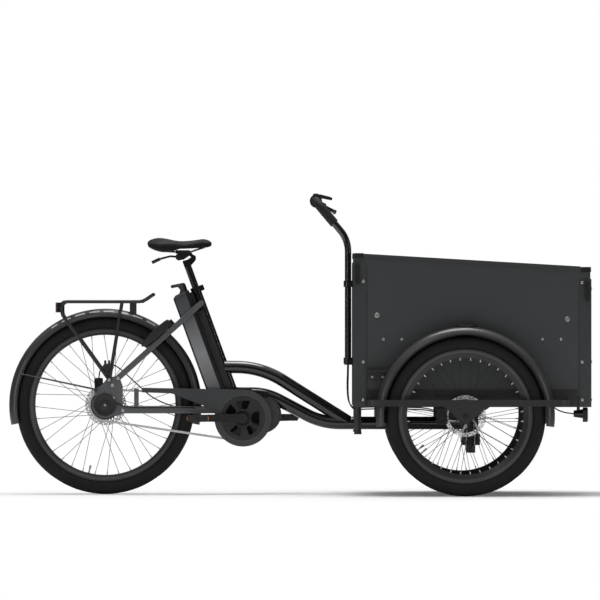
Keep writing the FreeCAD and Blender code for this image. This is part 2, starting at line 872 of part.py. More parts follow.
def motor_housing(frame):
    core = 45.0
    cap_step = 8.0
    neck_back = 6.0
    x, z = crank_x + lobe_ahead, crank_height + lobe_rise
    neck = side_slab([
        (crank_x - neck_back, crank_height + core), (crank_x - neck_back, crank_height - core),
        (x, z - lobe_radius), (x, z + lobe_radius),
    ], [0, 0, 0, 0], -motor_right + cap_step, motor_left - cap_step)
    bottom = cross_rod(crank_x, crank_height, -motor_right, motor_left, core)
    drum = cross_rod(x, z, -motor_right + cap_step, motor_left - cap_step, lobe_radius)
    cap = cross_rod(x, z, -motor_right, motor_left, lobe_radius - cap_step)
    body = joined([neck, bottom, drum, cap])
    hole = cross_rod(crank_x, crank_height, -motor_right - overrun, motor_left + overrun,
                     spindle_radius + running_gap)
    return [body.cut(hole).cut(frame)]


guard_radius = 111.0
guard_room = 12.0
guard_outer = chain_line + guard_room
guard_depth = 11.5
guard_wall = 2.5
guard_tail = 393.0


def guard_shape(inset, open_end, y0, y1):
    # disc over the chainring with a tapering arm back along the upper chain run, open below and behind
    tail_rise = 7.0
    tail_drop = 11.0
    shoulder_ahead = 115.0
    shoulder_drop = 15.0
    shoulder_bend = 40.0
    foot_rise = 32.0
    tail_corner = 2.0
    tail_x = crank_x - guard_tail - open_end
    top = crank_height + guard_radius - inset
    disc = cross_rod(crank_x, crank_height, y0, y1, guard_radius - inset)
    arm = side_slab([
        (tail_x, top + tail_rise), (crank_x, top), (crank_x, crank_height),
        (crank_x - guard_radius + inset, crank_height + foot_rise),
        (tail_x + shoulder_ahead, top - shoulder_drop - open_end), (tail_x, top - tail_drop - open_end),
    ], [tail_corner, 0, 0, 0, shoulder_bend, tail_corner], y0, y1)
    return joined([disc, arm])


def guard_windows(y0, y1):
    # openings of different widths round the crank, between an inner and an outer ring
    inner = 38.0
    outer = 74.0
    corner = 6.0
    middles = [math.radians(a) for a in (90.0, 0.0, 306.0, 243.0, 148.0)]
    halves = [math.radians(a) for a in (24.0, 30.0, 16.0, 19.0, 17.0)]
    windows = []
    for middle, half in zip(middles, halves):
        corners = []
        for radius, sign in ((inner, -1), (outer, -1), (outer, 1), (inner, 1)):
            angle = middle + sign * half
            corners.append((crank_x + radius * math.cos(angle), crank_height + radius * math.sin(angle)))
        windows.append(side_slab(corners, [corner] * len(corners), y0, y1))
    return Part.makeCompound(windows)


def chain_guard():
    y_out = -guard_outer
    y_in = -guard_outer + guard_depth
    open_end = 10.0
    eye_radius = 30.0
    post_inset = 8.5
    post_thick = 4.5
    post_angles = [math.radians(a) for a in (-20.0, 12.0, 45.0)]
    shell = guard_shape(0, 0, y_out, y_in)
    hollow = guard_shape(guard_wall, open_end, y_out + guard_wall, y_in + overrun)
    shell = shell.cut(hollow)
    eye = cross_rod(crank_x, crank_height, y_out - overrun, y_in + overrun, eye_radius)
    windows = guard_windows(y_out - overrun, y_out + guard_wall + overrun)
    shell = shell.cut(eye).cut(windows).cut(lower_run_opening(y_out + guard_wall, y_in + overrun))
    posts = []
    ring = guard_radius - post_inset
    for angle in post_angles:
        posts.append(cross_rod(crank_x + ring * math.cos(angle), crank_height + ring * math.sin(angle),
                               y_out + guard_wall, -motor_right, post_thick))
    return [joined([shell] + posts)]


def lower_run_opening(y0, y1):
    # clears the chain where it leaves the guard below
    room = 12.0
    tail = 200.0
    top = math.pi / 2 - drive_lean
    near = around(crank_axis, ring_radius, -top)
    away = (around(rear_axle, sprocket_radius, -top) - near).normalize()
    normal = vec(away.z, 0, -away.x)
    corners = [near + normal * room, near - normal * room, near + away * tail - normal * room,
               near + away * tail + normal * room]
    return side_slab([(p.x, p.z) for p in corners], [0, 0, 0, 0], y0, y1)


# Battery and its dock

battery_front = 29.0
battery_rear = 97.0
battery_low = 112.0
battery_high = 530.0
battery_half = 42.0


def battery_pack():
    handle_half = 16.0
    edge = 7.0
    depth = battery_rear - battery_front
    end_shares = [(-0.029, 1), (0.118, 0.824), (0.206, 0)]
    end_round_shares = [0.059, 0.118, 0.088, 0.118, 0.088]
    hook_shares = [(-0.294, 0.059), (-0.294, 0.735), (0.147, 0.588), (0.294, 0.456), (0.529, 0.5),
                   (0.588, 0.882),
                   (0.779, 0.941), (0.647, 0.059)]
    hook_round_shares = [0, 0, 0.118, 0.118, 0.118, 0.074, 0.088, 0.147]
    ends = [(battery_low, battery_front), (battery_low, battery_rear)]
    body = seat_slab(ends + shared(end_shares, depth, battery_high, battery_front),
                     rounded(end_round_shares, depth), -battery_half, battery_half)
    long_edges = [e for e in body.Edges if e.Length > (battery_high - battery_low) / 2]
    body = body.makeFillet(edge, long_edges)
    hook = seat_slab(shared(hook_shares, depth, battery_high, battery_front),
                     rounded(hook_round_shares, depth), -handle_half, handle_half)
    return [joined([body, hook])]


def battery_dock(frame):
    rail_half = 20.0
    rail_corner = 4.0
    rail_short = 80.0
    foot_thick = 14.0
    foot_half = 34.0
    foot_short = 10.0
    foot_lean = 6.0
    rail_top = battery_high - rail_short
    rail = seat_slab([
        (battery_low, 0), (battery_low, battery_front - free_gap),
        (rail_top, battery_front - free_gap), (rail_top, 0),
    ], [0, 0, rail_corner, 0], -rail_half, rail_half)
    foot = seat_slab([
        (battery_low - foot_thick, 0), (battery_low - foot_thick, battery_rear - foot_short),
        (battery_low - free_gap, battery_rear - foot_short + foot_lean), (battery_low - free_gap, 0),
    ], [0, rail_corner, rail_corner, 0], -foot_half, foot_half)
    return joined([rail, foot]).cut(frame).cut(seat_tube_core()).Solids


# Rear mudguard, rack and lights

rear_guard_room = 28.0
rear_guard_drop = 4.5
rear_guard_crown = rear_radius + rear_guard_room
rear_guard_lip = rear_radius - rear_guard_drop
rear_guard_half = 33.0
guard_sheet = 2.5


def rear_mudguard(rack):
    reach = 102.0
    stay_radius = 2.5
    eye_back = 36.0
    eye_rise = 60.0
    eye_radius = 7.5
    eye_thick = 10.0
    stay_turn = math.radians(20.4)
    strap_half = 13.0
    strap_ahead = 108.0
    strap_sunk = 12.0
    guard = mudguard(rear_axle, rear_guard_crown, rear_guard_lip, rear_guard_half, guard_sheet, -reach,
                     2 * reach)
    parts = [guard]
    end = rear_guard_lip + 2 * stay_radius
    for side in (-1, 1):
        eye = vec(rear_axle_x - eye_back, side * (dropout_outer + eye_thick / 2), rear_radius + eye_rise)
        lip = vec(rear_axle_x - end * math.cos(stay_turn), side * (rear_guard_half + stay_radius / 2),
                  rear_radius + end * math.sin(stay_turn))
        stay = rod(eye, lip, stay_radius)
        lug_y = sorted((side * dropout_outer, side * (dropout_outer + eye_thick)))
        lug = cross_rod(eye.x, eye.z, lug_y[0], lug_y[1], eye_radius)
        parts.append(joined([stay, lug]).cut(guard))
    foot = rear_radius + math.sqrt(rear_guard_crown ** 2 - (strap_ahead + strap_half) ** 2) - strap_sunk
    strap = block(rear_axle_x + strap_ahead - strap_half, rear_axle_x + strap_ahead + strap_half,
                  -rack_slat_half,
                  rack_slat_half, foot, rack_level)
    pieces = strap.cut(guard).cut(rack).Solids
    parts.append(max(pieces, key=lambda s: s.BoundBox.ZMax))
    return parts


rack_radius = 6.5
rack_level = 750.0
rack_half = 62.0
rack_lug_half = 7.0
rack_lug_ahead = 16.0
rack_lug_rise = 98.0
rack_back = 172.0
rack_slat_half = 20.6


def rear_rack():
    lug_half = rack_lug_half
    lug_radius = 9.0
    kink_ahead = 146.0
    tip_ahead = 187.0
    tip_rise = 28.0
    front_leg_ahead = 65.0
    leg_radius = 5.5
    slat_radius = 4.5
    bend = 22.0
    tip_bend = 60.0
    hoop_drop = 52.0
    hoop_lean = 6.0
    bar_inset = 12.0
    bar_apart = 120.0
    foot_y = dropout_outer + lug_half
    rear_x = rear_axle_x - rack_back
    kink_x = rear_axle_x + kink_ahead
    tip = (rear_axle_x + tip_ahead, rack_level + tip_rise)
    lug = (rear_axle_x + rack_lug_ahead, rear_radius + rack_lug_rise)
    front_leg_x = rear_axle_x + front_leg_ahead
    tubes = []
    for side in (-1, 1):
        rail = [
            vec(tip[0], side * rack_half, tip[1]), vec(kink_x, side * rack_half, rack_level),
            vec(rear_x, side * rack_half, rack_level),
            vec(rear_x + hoop_lean, side * rack_half, rack_level - hoop_drop),
            vec(lug[0], side * foot_y, lug[1]),
        ]
        lug_y = sorted((side * dropout_outer, side * (dropout_outer + 2 * lug_half)))
        tubes.append(sweep(rail, [tip_bend, bend, bend], rack_radius))
        tubes.append(rod(vec(front_leg_x, side * rack_half, rack_level),
                         vec(lug[0], side * foot_y, lug[1]), leg_radius))
        tubes.append(cross_rod(lug[0], lug[1], lug_y[0], lug_y[1], lug_radius))
    tubes.append(cross_rod(tip[0], tip[1], -rack_half, rack_half, rack_radius))
    for x in (rear_x + bar_inset, rear_axle_x - bar_apart / 2, rear_axle_x + bar_apart / 2, kink_x):
        tubes.append(cross_rod(x, rack_level, -rack_half, rack_half, leg_radius))
    for y in (-rack_slat_half, rack_slat_half):
        tubes.append(rod(vec(rear_x + bar_inset, y, rack_level), vec(kink_x, y, rack_level), slat_radius))
    return joined(tubes)


def tail_light(rack):
    depth = 22.0
    half = 34.0
    tall = 39.0
    drop = 3.0
    lens_corner = 8.0
    back_corner = 2.0
    arm_reach = 12.0
    arm_rise = 8.0
    arm_over = 4.0
    high = rack_level - drop
    low = high - tall
    rear = rear_axle_x - rack_back - depth
    face = rear + depth
    lamp = plan_slab([(rear, -half), (face, -half), (face, half), (rear, half)],
                     [lens_corner, back_corner, back_corner, lens_corner], low, high)
    bracket = block(face, face + arm_reach, -half / 2, half / 2, low + arm_rise, high + arm_over)
    return joined([lamp, bracket]).cut(rack).Solids


# Ring lock on top of the seatstays

lock_ring = 63.0
lock_tube = 9.0
lock_rod = 4.5
lock_gap = math.radians(42.0)
lock_engage = math.radians(14.0)


def lock_frame():
    top = seat_point(stay_join, 0, 0)
    along = vec(top.x - stay_x, 0, top.z - stay_z).normalize()
    raised = vec(-along.z, 0, along.x)
    return along, raised


lock_along, lock_raised = lock_frame()
lock_from_axle = 326.0


def lock_centre():
    # where the ring's plane, lying on the stays, meets the wheel's tread
    lift = stay_depth / 2 + lock_tube + free_gap / 2
    base = vec(stay_x, 0, stay_z) + lock_raised * lift
    offset = base - rear_axle
    half_b = offset.dot(lock_along)
    rest = offset.dot(offset) - lock_from_axle ** 2
    return base + lock_along * (-half_b + math.sqrt(half_b ** 2 - rest))


def lock_point(angle, radius):
    # angle from the hub side of the ring, towards the left
    return lock_centre() + lock_along * (-radius * math.cos(angle)) + vec(0, radius * math.sin(angle), 0)


def lock_bearing():
    # direction from the rear axle to where the bolt crosses the wheel, from upright towards the front
    away = lock_point(0, lock_ring) - rear_axle
    return math.atan2(away.x, away.z)


def lock_arc(start, end, radius):
    middle = (start + end) / 2
    quarter = (start + middle) / 2
    three = (middle + end) / 2
    arcs = [
        Part.Arc(lock_point(start, lock_ring), lock_point(quarter, lock_ring),
                 lock_point(middle, lock_ring)),
        Part.Arc(lock_point(middle, lock_ring), lock_point(three, lock_ring), lock_point(end, lock_ring)),
    ]
    path = Part.Wire([a.toShape() for a in arcs])
    tangent = lock_raised.cross(lock_point(start, lock_ring) - lock_centre())
    circle = Part.Wire(Part.makeCircle(radius, lock_point(start, lock_ring), tangent))
    return path.makePipeShell([circle], True, False)


def ring_lock_case(stays):
    key_radius = 20.0
    key_half = 13.0
    key_out = 12.0
    case = lock_arc(lock_gap, 2 * math.pi - lock_gap, lock_tube)
    bore = lock_arc(lock_gap - lock_engage, 2 * math.pi - lock_gap + lock_engage, lock_rod + free_gap)
    top = lock_point(math.pi, lock_ring + key_out)
    barrel = rod(top - lock_raised * key_half, top + lock_raised * key_half, key_radius)
    body = joined([case, barrel]).cut(bore)
    return body.cut(Part.makeCompound(stays)).Solids


def ring_lock_bolt():
    start = lock_gap + lock_engage / 4
    return [lock_arc(start, start + 2 * lock_gap + lock_engage, lock_rod)]


# Brakes

def rear_caliper():
    width = 32.0
    height = 50.0
    corner = 6.0
    slot_gap = 1.2
    inboard = 9.0
    behind = 27.0
    rise = 80.0
    x, z = rear_axle_x - behind, rear_radius + rise
    body = side_slab([
        (x - width / 2, z - height / 2), (x + width / 2, z - height / 2),
        (x + width / 2, z + height / 2), (x - width / 2, z + height / 2),
    ], [corner] * 4, rear_rotor_y - inboard, dropout_half)
    slot = cross_rod(rear_axle_x, rear_radius, rear_rotor_y - slot_gap,
                     rear_rotor_y + rotor_thick + slot_gap,
                     rotor_radius + slot_gap)
    return [body.cut(slot)]


# Seat post, saddle, lever

head_pin = 4.0
hinge_u = 654.0
hinge_v = -32.0
boss_u = 675.0
boss_v = 20.5
yoke_half = 9.0


def seat_post():
    head_half = 16.0
    lug = 10.5
    notch_room = 1.5
    below_hinge = 14.0
    top = hinge_u - below_hinge
    foot_shares = [(-1.143, 1.295), (-1.143, -1.295)]
    lug_shares = [(-1.143, -0.571), (0.19, -1), (1, 0), (0.286, 1)]
    back_shares = [(1.333, -0.762), (1.524, 1.295)]
    round_shares = [0.19, 0.381, 0.762, 0.571, 0.571, 0.286, 0.381, 0.476]
    post = rod(seat_point(post_bottom, 0, 0), seat_point(top, 0, 0), post_radius)
    points = shared(foot_shares, lug, top, 0) + shared(lug_shares, lug, hinge_u, hinge_v)
    points += shared(back_shares, lug, top, 0)
    head = seat_slab(points, rounded(round_shares, lug), -head_half, head_half)
    axis = seat_point(hinge_u, hinge_v, 0)
    notch = cross_rod(axis.x, axis.z, -yoke_half - free_gap, yoke_half + free_gap, lug + notch_room)
    pin = cross_rod(axis.x, axis.z, -head_half, head_half, head_pin)
    return [joined([post, head]).cut(notch).fuse(pin).removeSplitter()]


rail_radius = 3.5
rail_half = 22.0
rail_rise = 21.5
saddle_length = 262.0
saddle_behind = 183.4
saddle_rise = 32.5
saddle_thick = 42.0
saddle_half = 88.0


def saddle_start():
    # rear end of the saddle, at the height of its hinge
    return seat_point(hinge_u, hinge_v, 0) - vec(saddle_behind, 0, 0)


def saddle_rails():
    # two bent rods: place along the saddle, spread and height of each point
    place_shares = [0.141, 0.225, 0.439, 0.656, 0.866]
    spread_shares = [0.409, 0.364, 0.25, 0.25, 0.114]
    rise_shares = [0.476, 0.071, 0, 0, 0.429]
    bend_shares = [0.333, 1.429, 0.952]
    start = saddle_start()
    level = start.z + rail_rise
    rails = []
    for side in (-1, 1):
        path = []
        for along, spread, rise in zip(place_shares, spread_shares, rise_shares):
            path.append(vec(start.x + along * saddle_length, side * spread * saddle_half,
                            level + rise * saddle_thick))
        rails.append(sweep(path, rounded(bend_shares, saddle_thick), rail_radius))
    return rails


def saddle_frame():
    knuckle = 10.0
    boss = 13.5
    pin_out = 24.0
    lift = 4.0
    jaw_over = 8.0
    jaw_shares = (0.439, 0.645)
    web_shares = (0.462, 0.622)
    start_shares = [(0, -0.444), (1.778, 0.148)]
    latch_shares = [(0.963, -0.296), (-0.963, 0), (-1.185, -1.037)]
    end_shares = [(0.889, 0.889), (0, 0.444)]
    round_shares = [0, 0.444, 0.296, 0.296, 0.296, 0.296, 0]
    hinge = seat_point(hinge_u, hinge_v, 0)
    latch = seat_point(boss_u, boss_v, 0)
    start = saddle_start()
    level = start.z + rail_rise
    jaw_half = rail_half + jaw_over
    points = shared(start_shares, boss, hinge_u, hinge_v) + shared(latch_shares, boss, boss_u, boss_v)
    points += shared(end_shares, boss, hinge_u, hinge_v)
    arm = seat_slab(points, rounded(round_shares, boss), -yoke_half, yoke_half)
    rails = saddle_rails()
    jaw_x = [start.x + share * saddle_length for share in jaw_shares]
    web_x = [start.x + share * saddle_length for share in web_shares]
    jaw = block(jaw_x[0], jaw_x[1], -jaw_half, jaw_half, level - 2 * rail_radius, level + 2 * rail_radius)
    web = block(web_x[0], web_x[1], -yoke_half, yoke_half, start.z + lift, level)
    turned_hub = cross_rod(hinge.x, hinge.z, -yoke_half, yoke_half, knuckle)
    latch_hub = cross_rod(latch.x, latch.z, -yoke_half, yoke_half, boss)
    latch_pin = cross_rod(latch.x, latch.z, -pin_out, 0, head_pin)
    yoke = joined([arm, jaw, web, turned_hub, latch_hub, latch_pin])
    hole = cross_rod(hinge.x, hinge.z, -yoke_half - overrun, yoke_half + overrun, head_pin + running_gap)
    return [yoke.cut(hole).cut(Part.makeCompound(rails))] + rails


def saddle_section(x, half, low, side_z, top):
    # crowned top over a drawn-in side
    tuck_share = 0.86
    bulge_share = 0.97
    tuck = half * tuck_share
    bulge = half * bulge_share
    middle = (side_z + low) / 2
    left, right = vec(x, half, side_z), vec(x, -half, side_z)
    edges = [
        Part.Arc(left, vec(x, 0, top), right).toShape(),
        Part.Arc(right, vec(x, -bulge, middle), vec(x, -tuck, low)).toShape(),
        Part.LineSegment(vec(x, -tuck, low), vec(x, tuck, low)).toShape(),
        Part.Arc(vec(x, tuck, low), vec(x, bulge, middle), left).toShape(),
    ]
    return Part.Wire(edges)


def saddle_cover():
    half_shares = [0.62, 0.92, 1.0, 0.82, 0.5, 0.33, 0.3, 0.2]
    place_shares = [0.0, 0.07, 0.22, 0.42, 0.6, 0.78, 0.93, 1.0]
    low_shares = [0.31, 0.119, 0, 0, 0.024, 0.071, 0.167, 0.357]
    side_shares = [0.452, 0.405, 0.357, 0.381, 0.405, 0.452, 0.5, 0.5]
    top_shares = [0.667, 0.905, 1, 0.857, 0.81, 0.857, 0.881, 0.667]
    start = saddle_start()
    base = start.z + saddle_rise
    wires = []
    for i in range(len(place_shares)):
        wires.append(saddle_section(start.x + saddle_length * place_shares[i], saddle_half * half_shares[i],
                                    base + saddle_thick * low_shares[i],
                                    base + saddle_thick * side_shares[i],
                                    base + saddle_thick * top_shares[i]))
    pad = Part.makeLoft(wires, True, False)
    return [pad.cut(Part.makeCompound(saddle_rails()))]


def saddle_lever():
    ring = 9.0
    stem = 4.0
    sleeve = 6.5
    side_gap = 1.0
    width = 10.0
    reach = 106.0
    path_shares = [(0.132, 0.283), (0.17, 0.679), (0.142, 1)]
    bend_shares = [0.283, 0.377]
    y1 = -yoke_half - side_gap
    y0 = y1 - width
    y = (y0 + y1) / 2
    axis = seat_point(boss_u, boss_v, 0)
    path = [seat_point(boss_u, boss_v, y)]
    path += [seat_point(u, v, y) for u, v in shared(path_shares, reach, boss_u, boss_v)]
    wire = sweep(path, rounded(bend_shares, reach), stem)
    grip = rod(path[2], path[3], sleeve)
    eye = cross_rod(axis.x, axis.z, y0, y1, ring)
    hole = cross_rod(axis.x, axis.z, y0 - overrun, y1 + overrun, head_pin + running_gap)
    return [joined([wire, grip, eye]).cut(hole)]


# Front wheels

front_axle_radius = 6.0
front_rim_depth = 28.5
front_hole_radius = 25.0
front_flange_offset = 26.0
front_hub_half = 36.0
front_spoke_lean = math.radians(60.0)
bracket_thick = 6.0
outrigger_room = 54.0
outrigger_inner = wheel_half + outrigger_room
outrigger_thick = 8.0
outrigger_tall = 25.0


def front_wheel(side, name):
    centre = vec(front_axle_x, side * wheel_half, front_radius)
    bore = front_axle_radius + running_gap
    shell = 17.0
    boss = 16.0
    inboard = centre.y - side * front_hub_half
    rotor_y = min(inboard, inboard - side * rotor_thick)
    body = hub(centre, bore, front_hole_radius, front_flange_offset, shell, front_hub_half, boss)
    return {
        name + "_tyre": [tyre(centre, front_bead)],
        name + "_rim": [rim(centre, front_bead, front_rim_depth)],
        name + "_spokes": spokes(centre, front_bead, front_rim_depth, front_hole_radius,
                                 front_flange_offset, front_spoke_lean, 0),
        name + "_hub": [body],
        name + "_rotor": [rotor(centre, rotor_y, bore)],
    }


def front_axles():
    collar = 9.0
    nut = 10.0
    nut_length = 8.0
    inner_face = box_half + bracket_thick
    inboard = wheel_half - front_hub_half - rotor_thick - free_gap
    outboard = wheel_half + front_hub_half + free_gap
    outer_face = outrigger_inner + outrigger_thick
    x, z = front_axle_x, front_radius
    pieces = [
        cross_rod(x, z, box_half - nut_length, outer_face + nut_length, front_axle_radius),
        cross_rod(x, z, inner_face, inboard, collar),
        cross_rod(x, z, outboard, outrigger_inner, collar),
        cross_rod(x, z, box_half - nut_length, box_half, nut),
        cross_rod(x, z, outer_face, outer_face + nut_length, nut),
    ]
    return both_sides(joined(pieces))


# Base frame with kingpin, axle brackets and steering stops

rail_wide = 30.0
lip_thick = 3.0
lip_height = 25.0
lip_inset = 50.0
beam_half = 40.0
washer_thick = 4.0
beam_low = housing_top + washer_thick
stop_radius = 13.5
stop_low = 238.0
stop_inset = 9.0
stop_half = box_half - stop_inset
kingpin_nut_radius = 18.5
kingpin_low = 161.0


def axle_bracket():
    # plate down from the base rail to the axle, deeper behind for the calliper
    reach = 112.0
    low_shares = [(-1, -0.286), (-0.536, -0.339), (0, -0.232), (0.304, -0.089)]
    front_share = 0.857
    round_shares = [0.089, 0.107, 0.143, 0.125, 0.071, 0.018, 0.018]
    x, z = front_axle_x, front_radius
    front_x = x + front_share * reach
    points = shared(low_shares, reach, x, z)
    points += [(front_x, box_base), (front_x, floor_level), (x - reach, floor_level)]
    plate = side_slab(points, rounded(round_shares, reach), box_half, box_half + bracket_thick)
    return plate.cut(cross_rod(x, z, box_half - overrun, box_half + bracket_thick + overrun,
                               front_axle_radius))


def base_frame():
    # welded rails, each tube its own solid, with the kingpin and the two steering stops
    inner = box_half - rail_wide
    cross_apart = 440.0
    foot = 16.0
    foot_flare = 1.5
    rail = block(panel_rear, panel_front, inner, box_half, box_base, floor_level)
    lip = block(panel_rear + lip_inset, panel_front - lip_inset, box_half, box_half + lip_thick, box_base,
                floor_level + lip_height)
    made = both_sides(rail) + both_sides(lip) + both_sides(axle_bracket().cut(lip))
    for x in (panel_rear, panel_front - rail_wide, kingpin_x - cross_apart / 2, kingpin_x + cross_apart / 2):
        made.append(block(x, x + rail_wide, -inner, inner, box_base, floor_level))
    beam = block(kingpin_x - beam_half, kingpin_x + beam_half, -inner, inner, beam_low, floor_level)
    pin = rod(vec(kingpin_x, 0, kingpin_low), vec(kingpin_x, 0, floor_level), kingpin_radius)
    nut = rod(vec(kingpin_x, 0, kingpin_low), vec(kingpin_x, 0, housing_low - free_gap), kingpin_nut_radius)
    washer = rod(vec(kingpin_x, 0, housing_top + free_gap), vec(kingpin_x, 0, beam_low),
                 kingpin_housing_radius - overrun)
    made.append(beam.cut(pin))
    made.append(joined([pin, nut, washer]))
    x = panel_rear + rail_wide / 2
    stem = rod(vec(x, stop_half, stop_low), vec(x, stop_half, box_base), stop_radius)
    pad = Part.makeCone(stop_radius + foot_flare, stop_radius, foot, vec(x, stop_half, stop_low),
                        vec(0, 0, 1))
    return made + both_sides(joined([stem, pad]))


def wheel_outriggers():
    rise = 4.0
    bend = 38.0
    length = 780.0
    reach = 90.0
    foot_shares = [(-1, 0), (-0.378, -0.533), (0, -0.8), (0.378, -0.533), (1, 0)]
    foot_round_shares = [0, 0.667, 0.133, 0.667, 0, 0, 0]
    edge = 4.0
    low = box_base + rise
    high = low + outrigger_tall
    rear_x = panel_rear + lip_inset
    front_x = rear_x + length
    inner_y, outer_y = outrigger_inner, outrigger_inner + outrigger_thick
    seat = box_half + lip_thick
    loop = plan_slab([(rear_x, seat), (rear_x, outer_y), (front_x, outer_y), (front_x, seat)],
                     [0, bend, bend, 0], low, high)
    core = plan_slab([(rear_x + outrigger_thick, seat - overrun), (rear_x + outrigger_thick, inner_y),
                      (front_x - outrigger_thick, inner_y), (front_x - outrigger_thick, seat - overrun)],
                     [0, bend - outrigger_thick, bend - outrigger_thick, 0], low - overrun, high + overrun)
    x, z = front_axle_x, front_radius
    base = low + edge
    points = shared(foot_shares, reach, x, base)
    points += [(x + reach, base + 2 * edge), (x - reach, base + 2 * edge)]
    plate = side_slab(points, rounded(foot_round_shares, reach), inner_y, outer_y)
    bracket = joined([loop.cut(core), plate])
    bracket = bracket.cut(cross_rod(x, z, inner_y - overrun, outer_y + overrun, front_axle_radius))
    return both_sides(bracket)


# Cargo box

def top_at(x):
    # height of the sloping top edge
    return box_top_rear + (box_top_front - box_top_rear) * (x - box_rear) / box_length


rail_top_thick = 3.0
rail_cap_height = 14.0
rail_cap_half = 9.0
cap_size = 38.0


def box_panels():
    inner = box_half - panel_thick
    rear_top = top_at(panel_rear) - rail_top_thick
    front_top = top_at(panel_front) - rail_top_thick
    panel = side_slab([(panel_rear, floor_level), (panel_front, floor_level), (panel_front, front_top),
                       (panel_rear, rear_top)], [0, 0, 0, 0], inner, box_half)
    rear = block(panel_rear, panel_rear + panel_thick, -inner, inner, floor_level,
                 top_at(panel_rear + panel_thick) - rail_top_thick)
    front = block(panel_front - panel_thick, panel_front, -inner, inner, floor_level, front_top)
    return both_sides(panel) + [rear, front]


def box_floor():
    inner = box_half - panel_thick
    eye_radius = 4.5
    eye_inset = 60.0
    floor = block(panel_rear + panel_thick, panel_front - panel_thick, -inner, inner, floor_level,
                  floor_level + panel_thick)
    eyes = []
    for x in (panel_rear + eye_inset, panel_front - eye_inset):
        for side in (-1, 1):
            y = side * (inner - eye_inset)
            eyes.append(rod(vec(x, y, floor_level - overrun), vec(x, y, floor_level + panel_thick + overrun),
                              eye_radius))
    return [floor.cut(Part.makeCompound(eyes))]


rear_post_wide = 52.0
front_post_wide = 46.0
post_return = 40.0
rear_post_top = 903.0
front_post_top = 838.0


def corner_post(x_edge, inward, wide, top):
    # angle section around the corner, its upper outer corner rounded off
    corner = 18.0
    side_y = box_half + post_thick
    x_far = x_edge + inward * wide
    low, high = min(x_edge, x_far), max(x_edge, x_far)
    radii = [0, 0, corner, 0] if inward > 0 else [0, 0, 0, corner]
    side = side_slab([(low, box_base), (high, box_base), (high, top), (low, top)], radii, box_half, side_y)
    face_in = x_edge + inward * post_thick
    end = front_slab([(box_half, box_base), (box_half - post_return, box_base),
                      (box_half - post_return, top), (box_half, top)], [0, corner, corner, 0],
                     min(x_edge, face_in), max(x_edge, face_in))
    return joined([side, end])


def corner_posts():
    rear = corner_post(box_rear, 1, rear_post_wide, rear_post_top)
    front = corner_post(box_front, -1, front_post_wide, front_post_top)
    return both_sides(rear) + both_sides(front)


def corner_block(x, inward):
    # rounded plastic cap over one upper corner of the box, Y positive side
    proud = 3.0
    skirt = 6.0
    large = 8.0
    small = 2.0
    x_out = x - inward * proud
    x_in = x + inward * cap_size
    y_out = box_half + proud
    y_in = box_half - cap_size
    top = top_at(x)
    low = top - rail_cap_height - skirt
    left, right = sorted((x_out, x_in))
    at_right, at_left = (small, large) if inward > 0 else (large, small)
    keep = side_slab([(left, low), (right, low), (right, top), (left, top)],
                     [small, small, at_right, at_left],
                     y_in, y_out)
    plan = plan_slab([(left, y_in), (right, y_in), (right, y_out), (left, y_out)], [0, 0, at_right, at_left],
                     low - overrun, top + overrun)
    room_x = sorted((x + inward * (panel_thick + rail_top_thick), x_in + inward * overrun))
    room = block(room_x[0], room_x[1], y_in - overrun, box_half - panel_thick - rail_top_thick,
                 low - overrun, top + overrun)
    return keep.common(plan).cut(room)


def bumper(x, top):
    # half-round rubber bar on the post, near the corner
    half = 9.0
    corner = 8.0
    length = 76.0
    proud = 8.0
    side_y = box_half + post_thick
    return side_slab([(x - half, top - length), (x + half, top - length), (x + half, top), (x - half, top)],
                     [corner] * 4, side_y, side_y + proud)


def corner_caps(panels):
    bumper_inset = 17.0
    bumper_drop = 9.0
    caps = []
    for x, inward in ((panel_rear, 1), (panel_front, -1)):
        caps.append(corner_block(x, inward).cut(panels))
    caps.append(bumper(box_rear + bumper_inset, rear_post_top - bumper_drop))
    caps.append(bumper(box_front - bumper_inset, front_post_top - bumper_drop))
    made = []
    for cap in caps:
        made.extend(both_sides(cap))
    return made


def top_rails(panels):
    y_in = box_half - panel_thick / 2 - rail_cap_half
    y_out = box_half - panel_thick / 2 + rail_cap_half
    corner = 2.0
    start = panel_rear + cap_size
    end = panel_front - cap_size
    rail = side_slab([(start, top_at(start) - rail_cap_height), (end, top_at(end) - rail_cap_height),
                      (end, top_at(end)), (start, top_at(start))], [0, 0, corner, corner], y_in, y_out)
    made = both_sides(rail.cut(panels))
    span = box_half - cap_size
    for x in (panel_rear + panel_thick / 2, panel_front - panel_thick / 2):
        top = top_at(x)
        bar = block(x - rail_cap_half, x + rail_cap_half, -span, span, top - rail_cap_height, top)
        made.append(bar.cut(panels))
    return made


bench_depth = 200.0
bench_thick = 18.0
bench_level = 622.0
cleat = 30.0
cleat_wall = 3.0


def benches():
    inner = box_half - panel_thick
    slack = 8.0
    corner = 20.0
    made = []
    for start, inward in ((panel_rear + panel_thick, 1), (panel_front - panel_thick, -1)):
        a, b = sorted((start + inward * slack, start + inward * bench_depth))
        radii = [0, corner, corner, 0] if inward > 0 else [corner, 0, 0, corner]
        made.append(plan_slab([(a, -inner + slack), (b, -inner + slack), (b, inner - slack),
                               (a, inner - slack)],
                              radii, bench_level, bench_level + bench_thick))
        for side in (-1, 1):
            wall_y = sorted((side * inner, side * (inner - cleat_wall)))
            leg_y = sorted((side * (inner - cleat_wall), side * (inner - cleat)))
            upright = block(a + cleat, b - cleat, wall_y[0], wall_y[1], bench_level - cleat, bench_level)
            shelf = block(a + cleat, b - cleat, leg_y[0], leg_y[1], bench_level - cleat_wall, bench_level)
            made.append(joined([upright, shelf]))
    return made


# Front mudguards

front_guard_room = 36.0
front_guard_lift = 5.0
front_guard_crown = front_radius + front_guard_room
front_guard_lip = front_radius + front_guard_lift
front_guard_half = 33.5


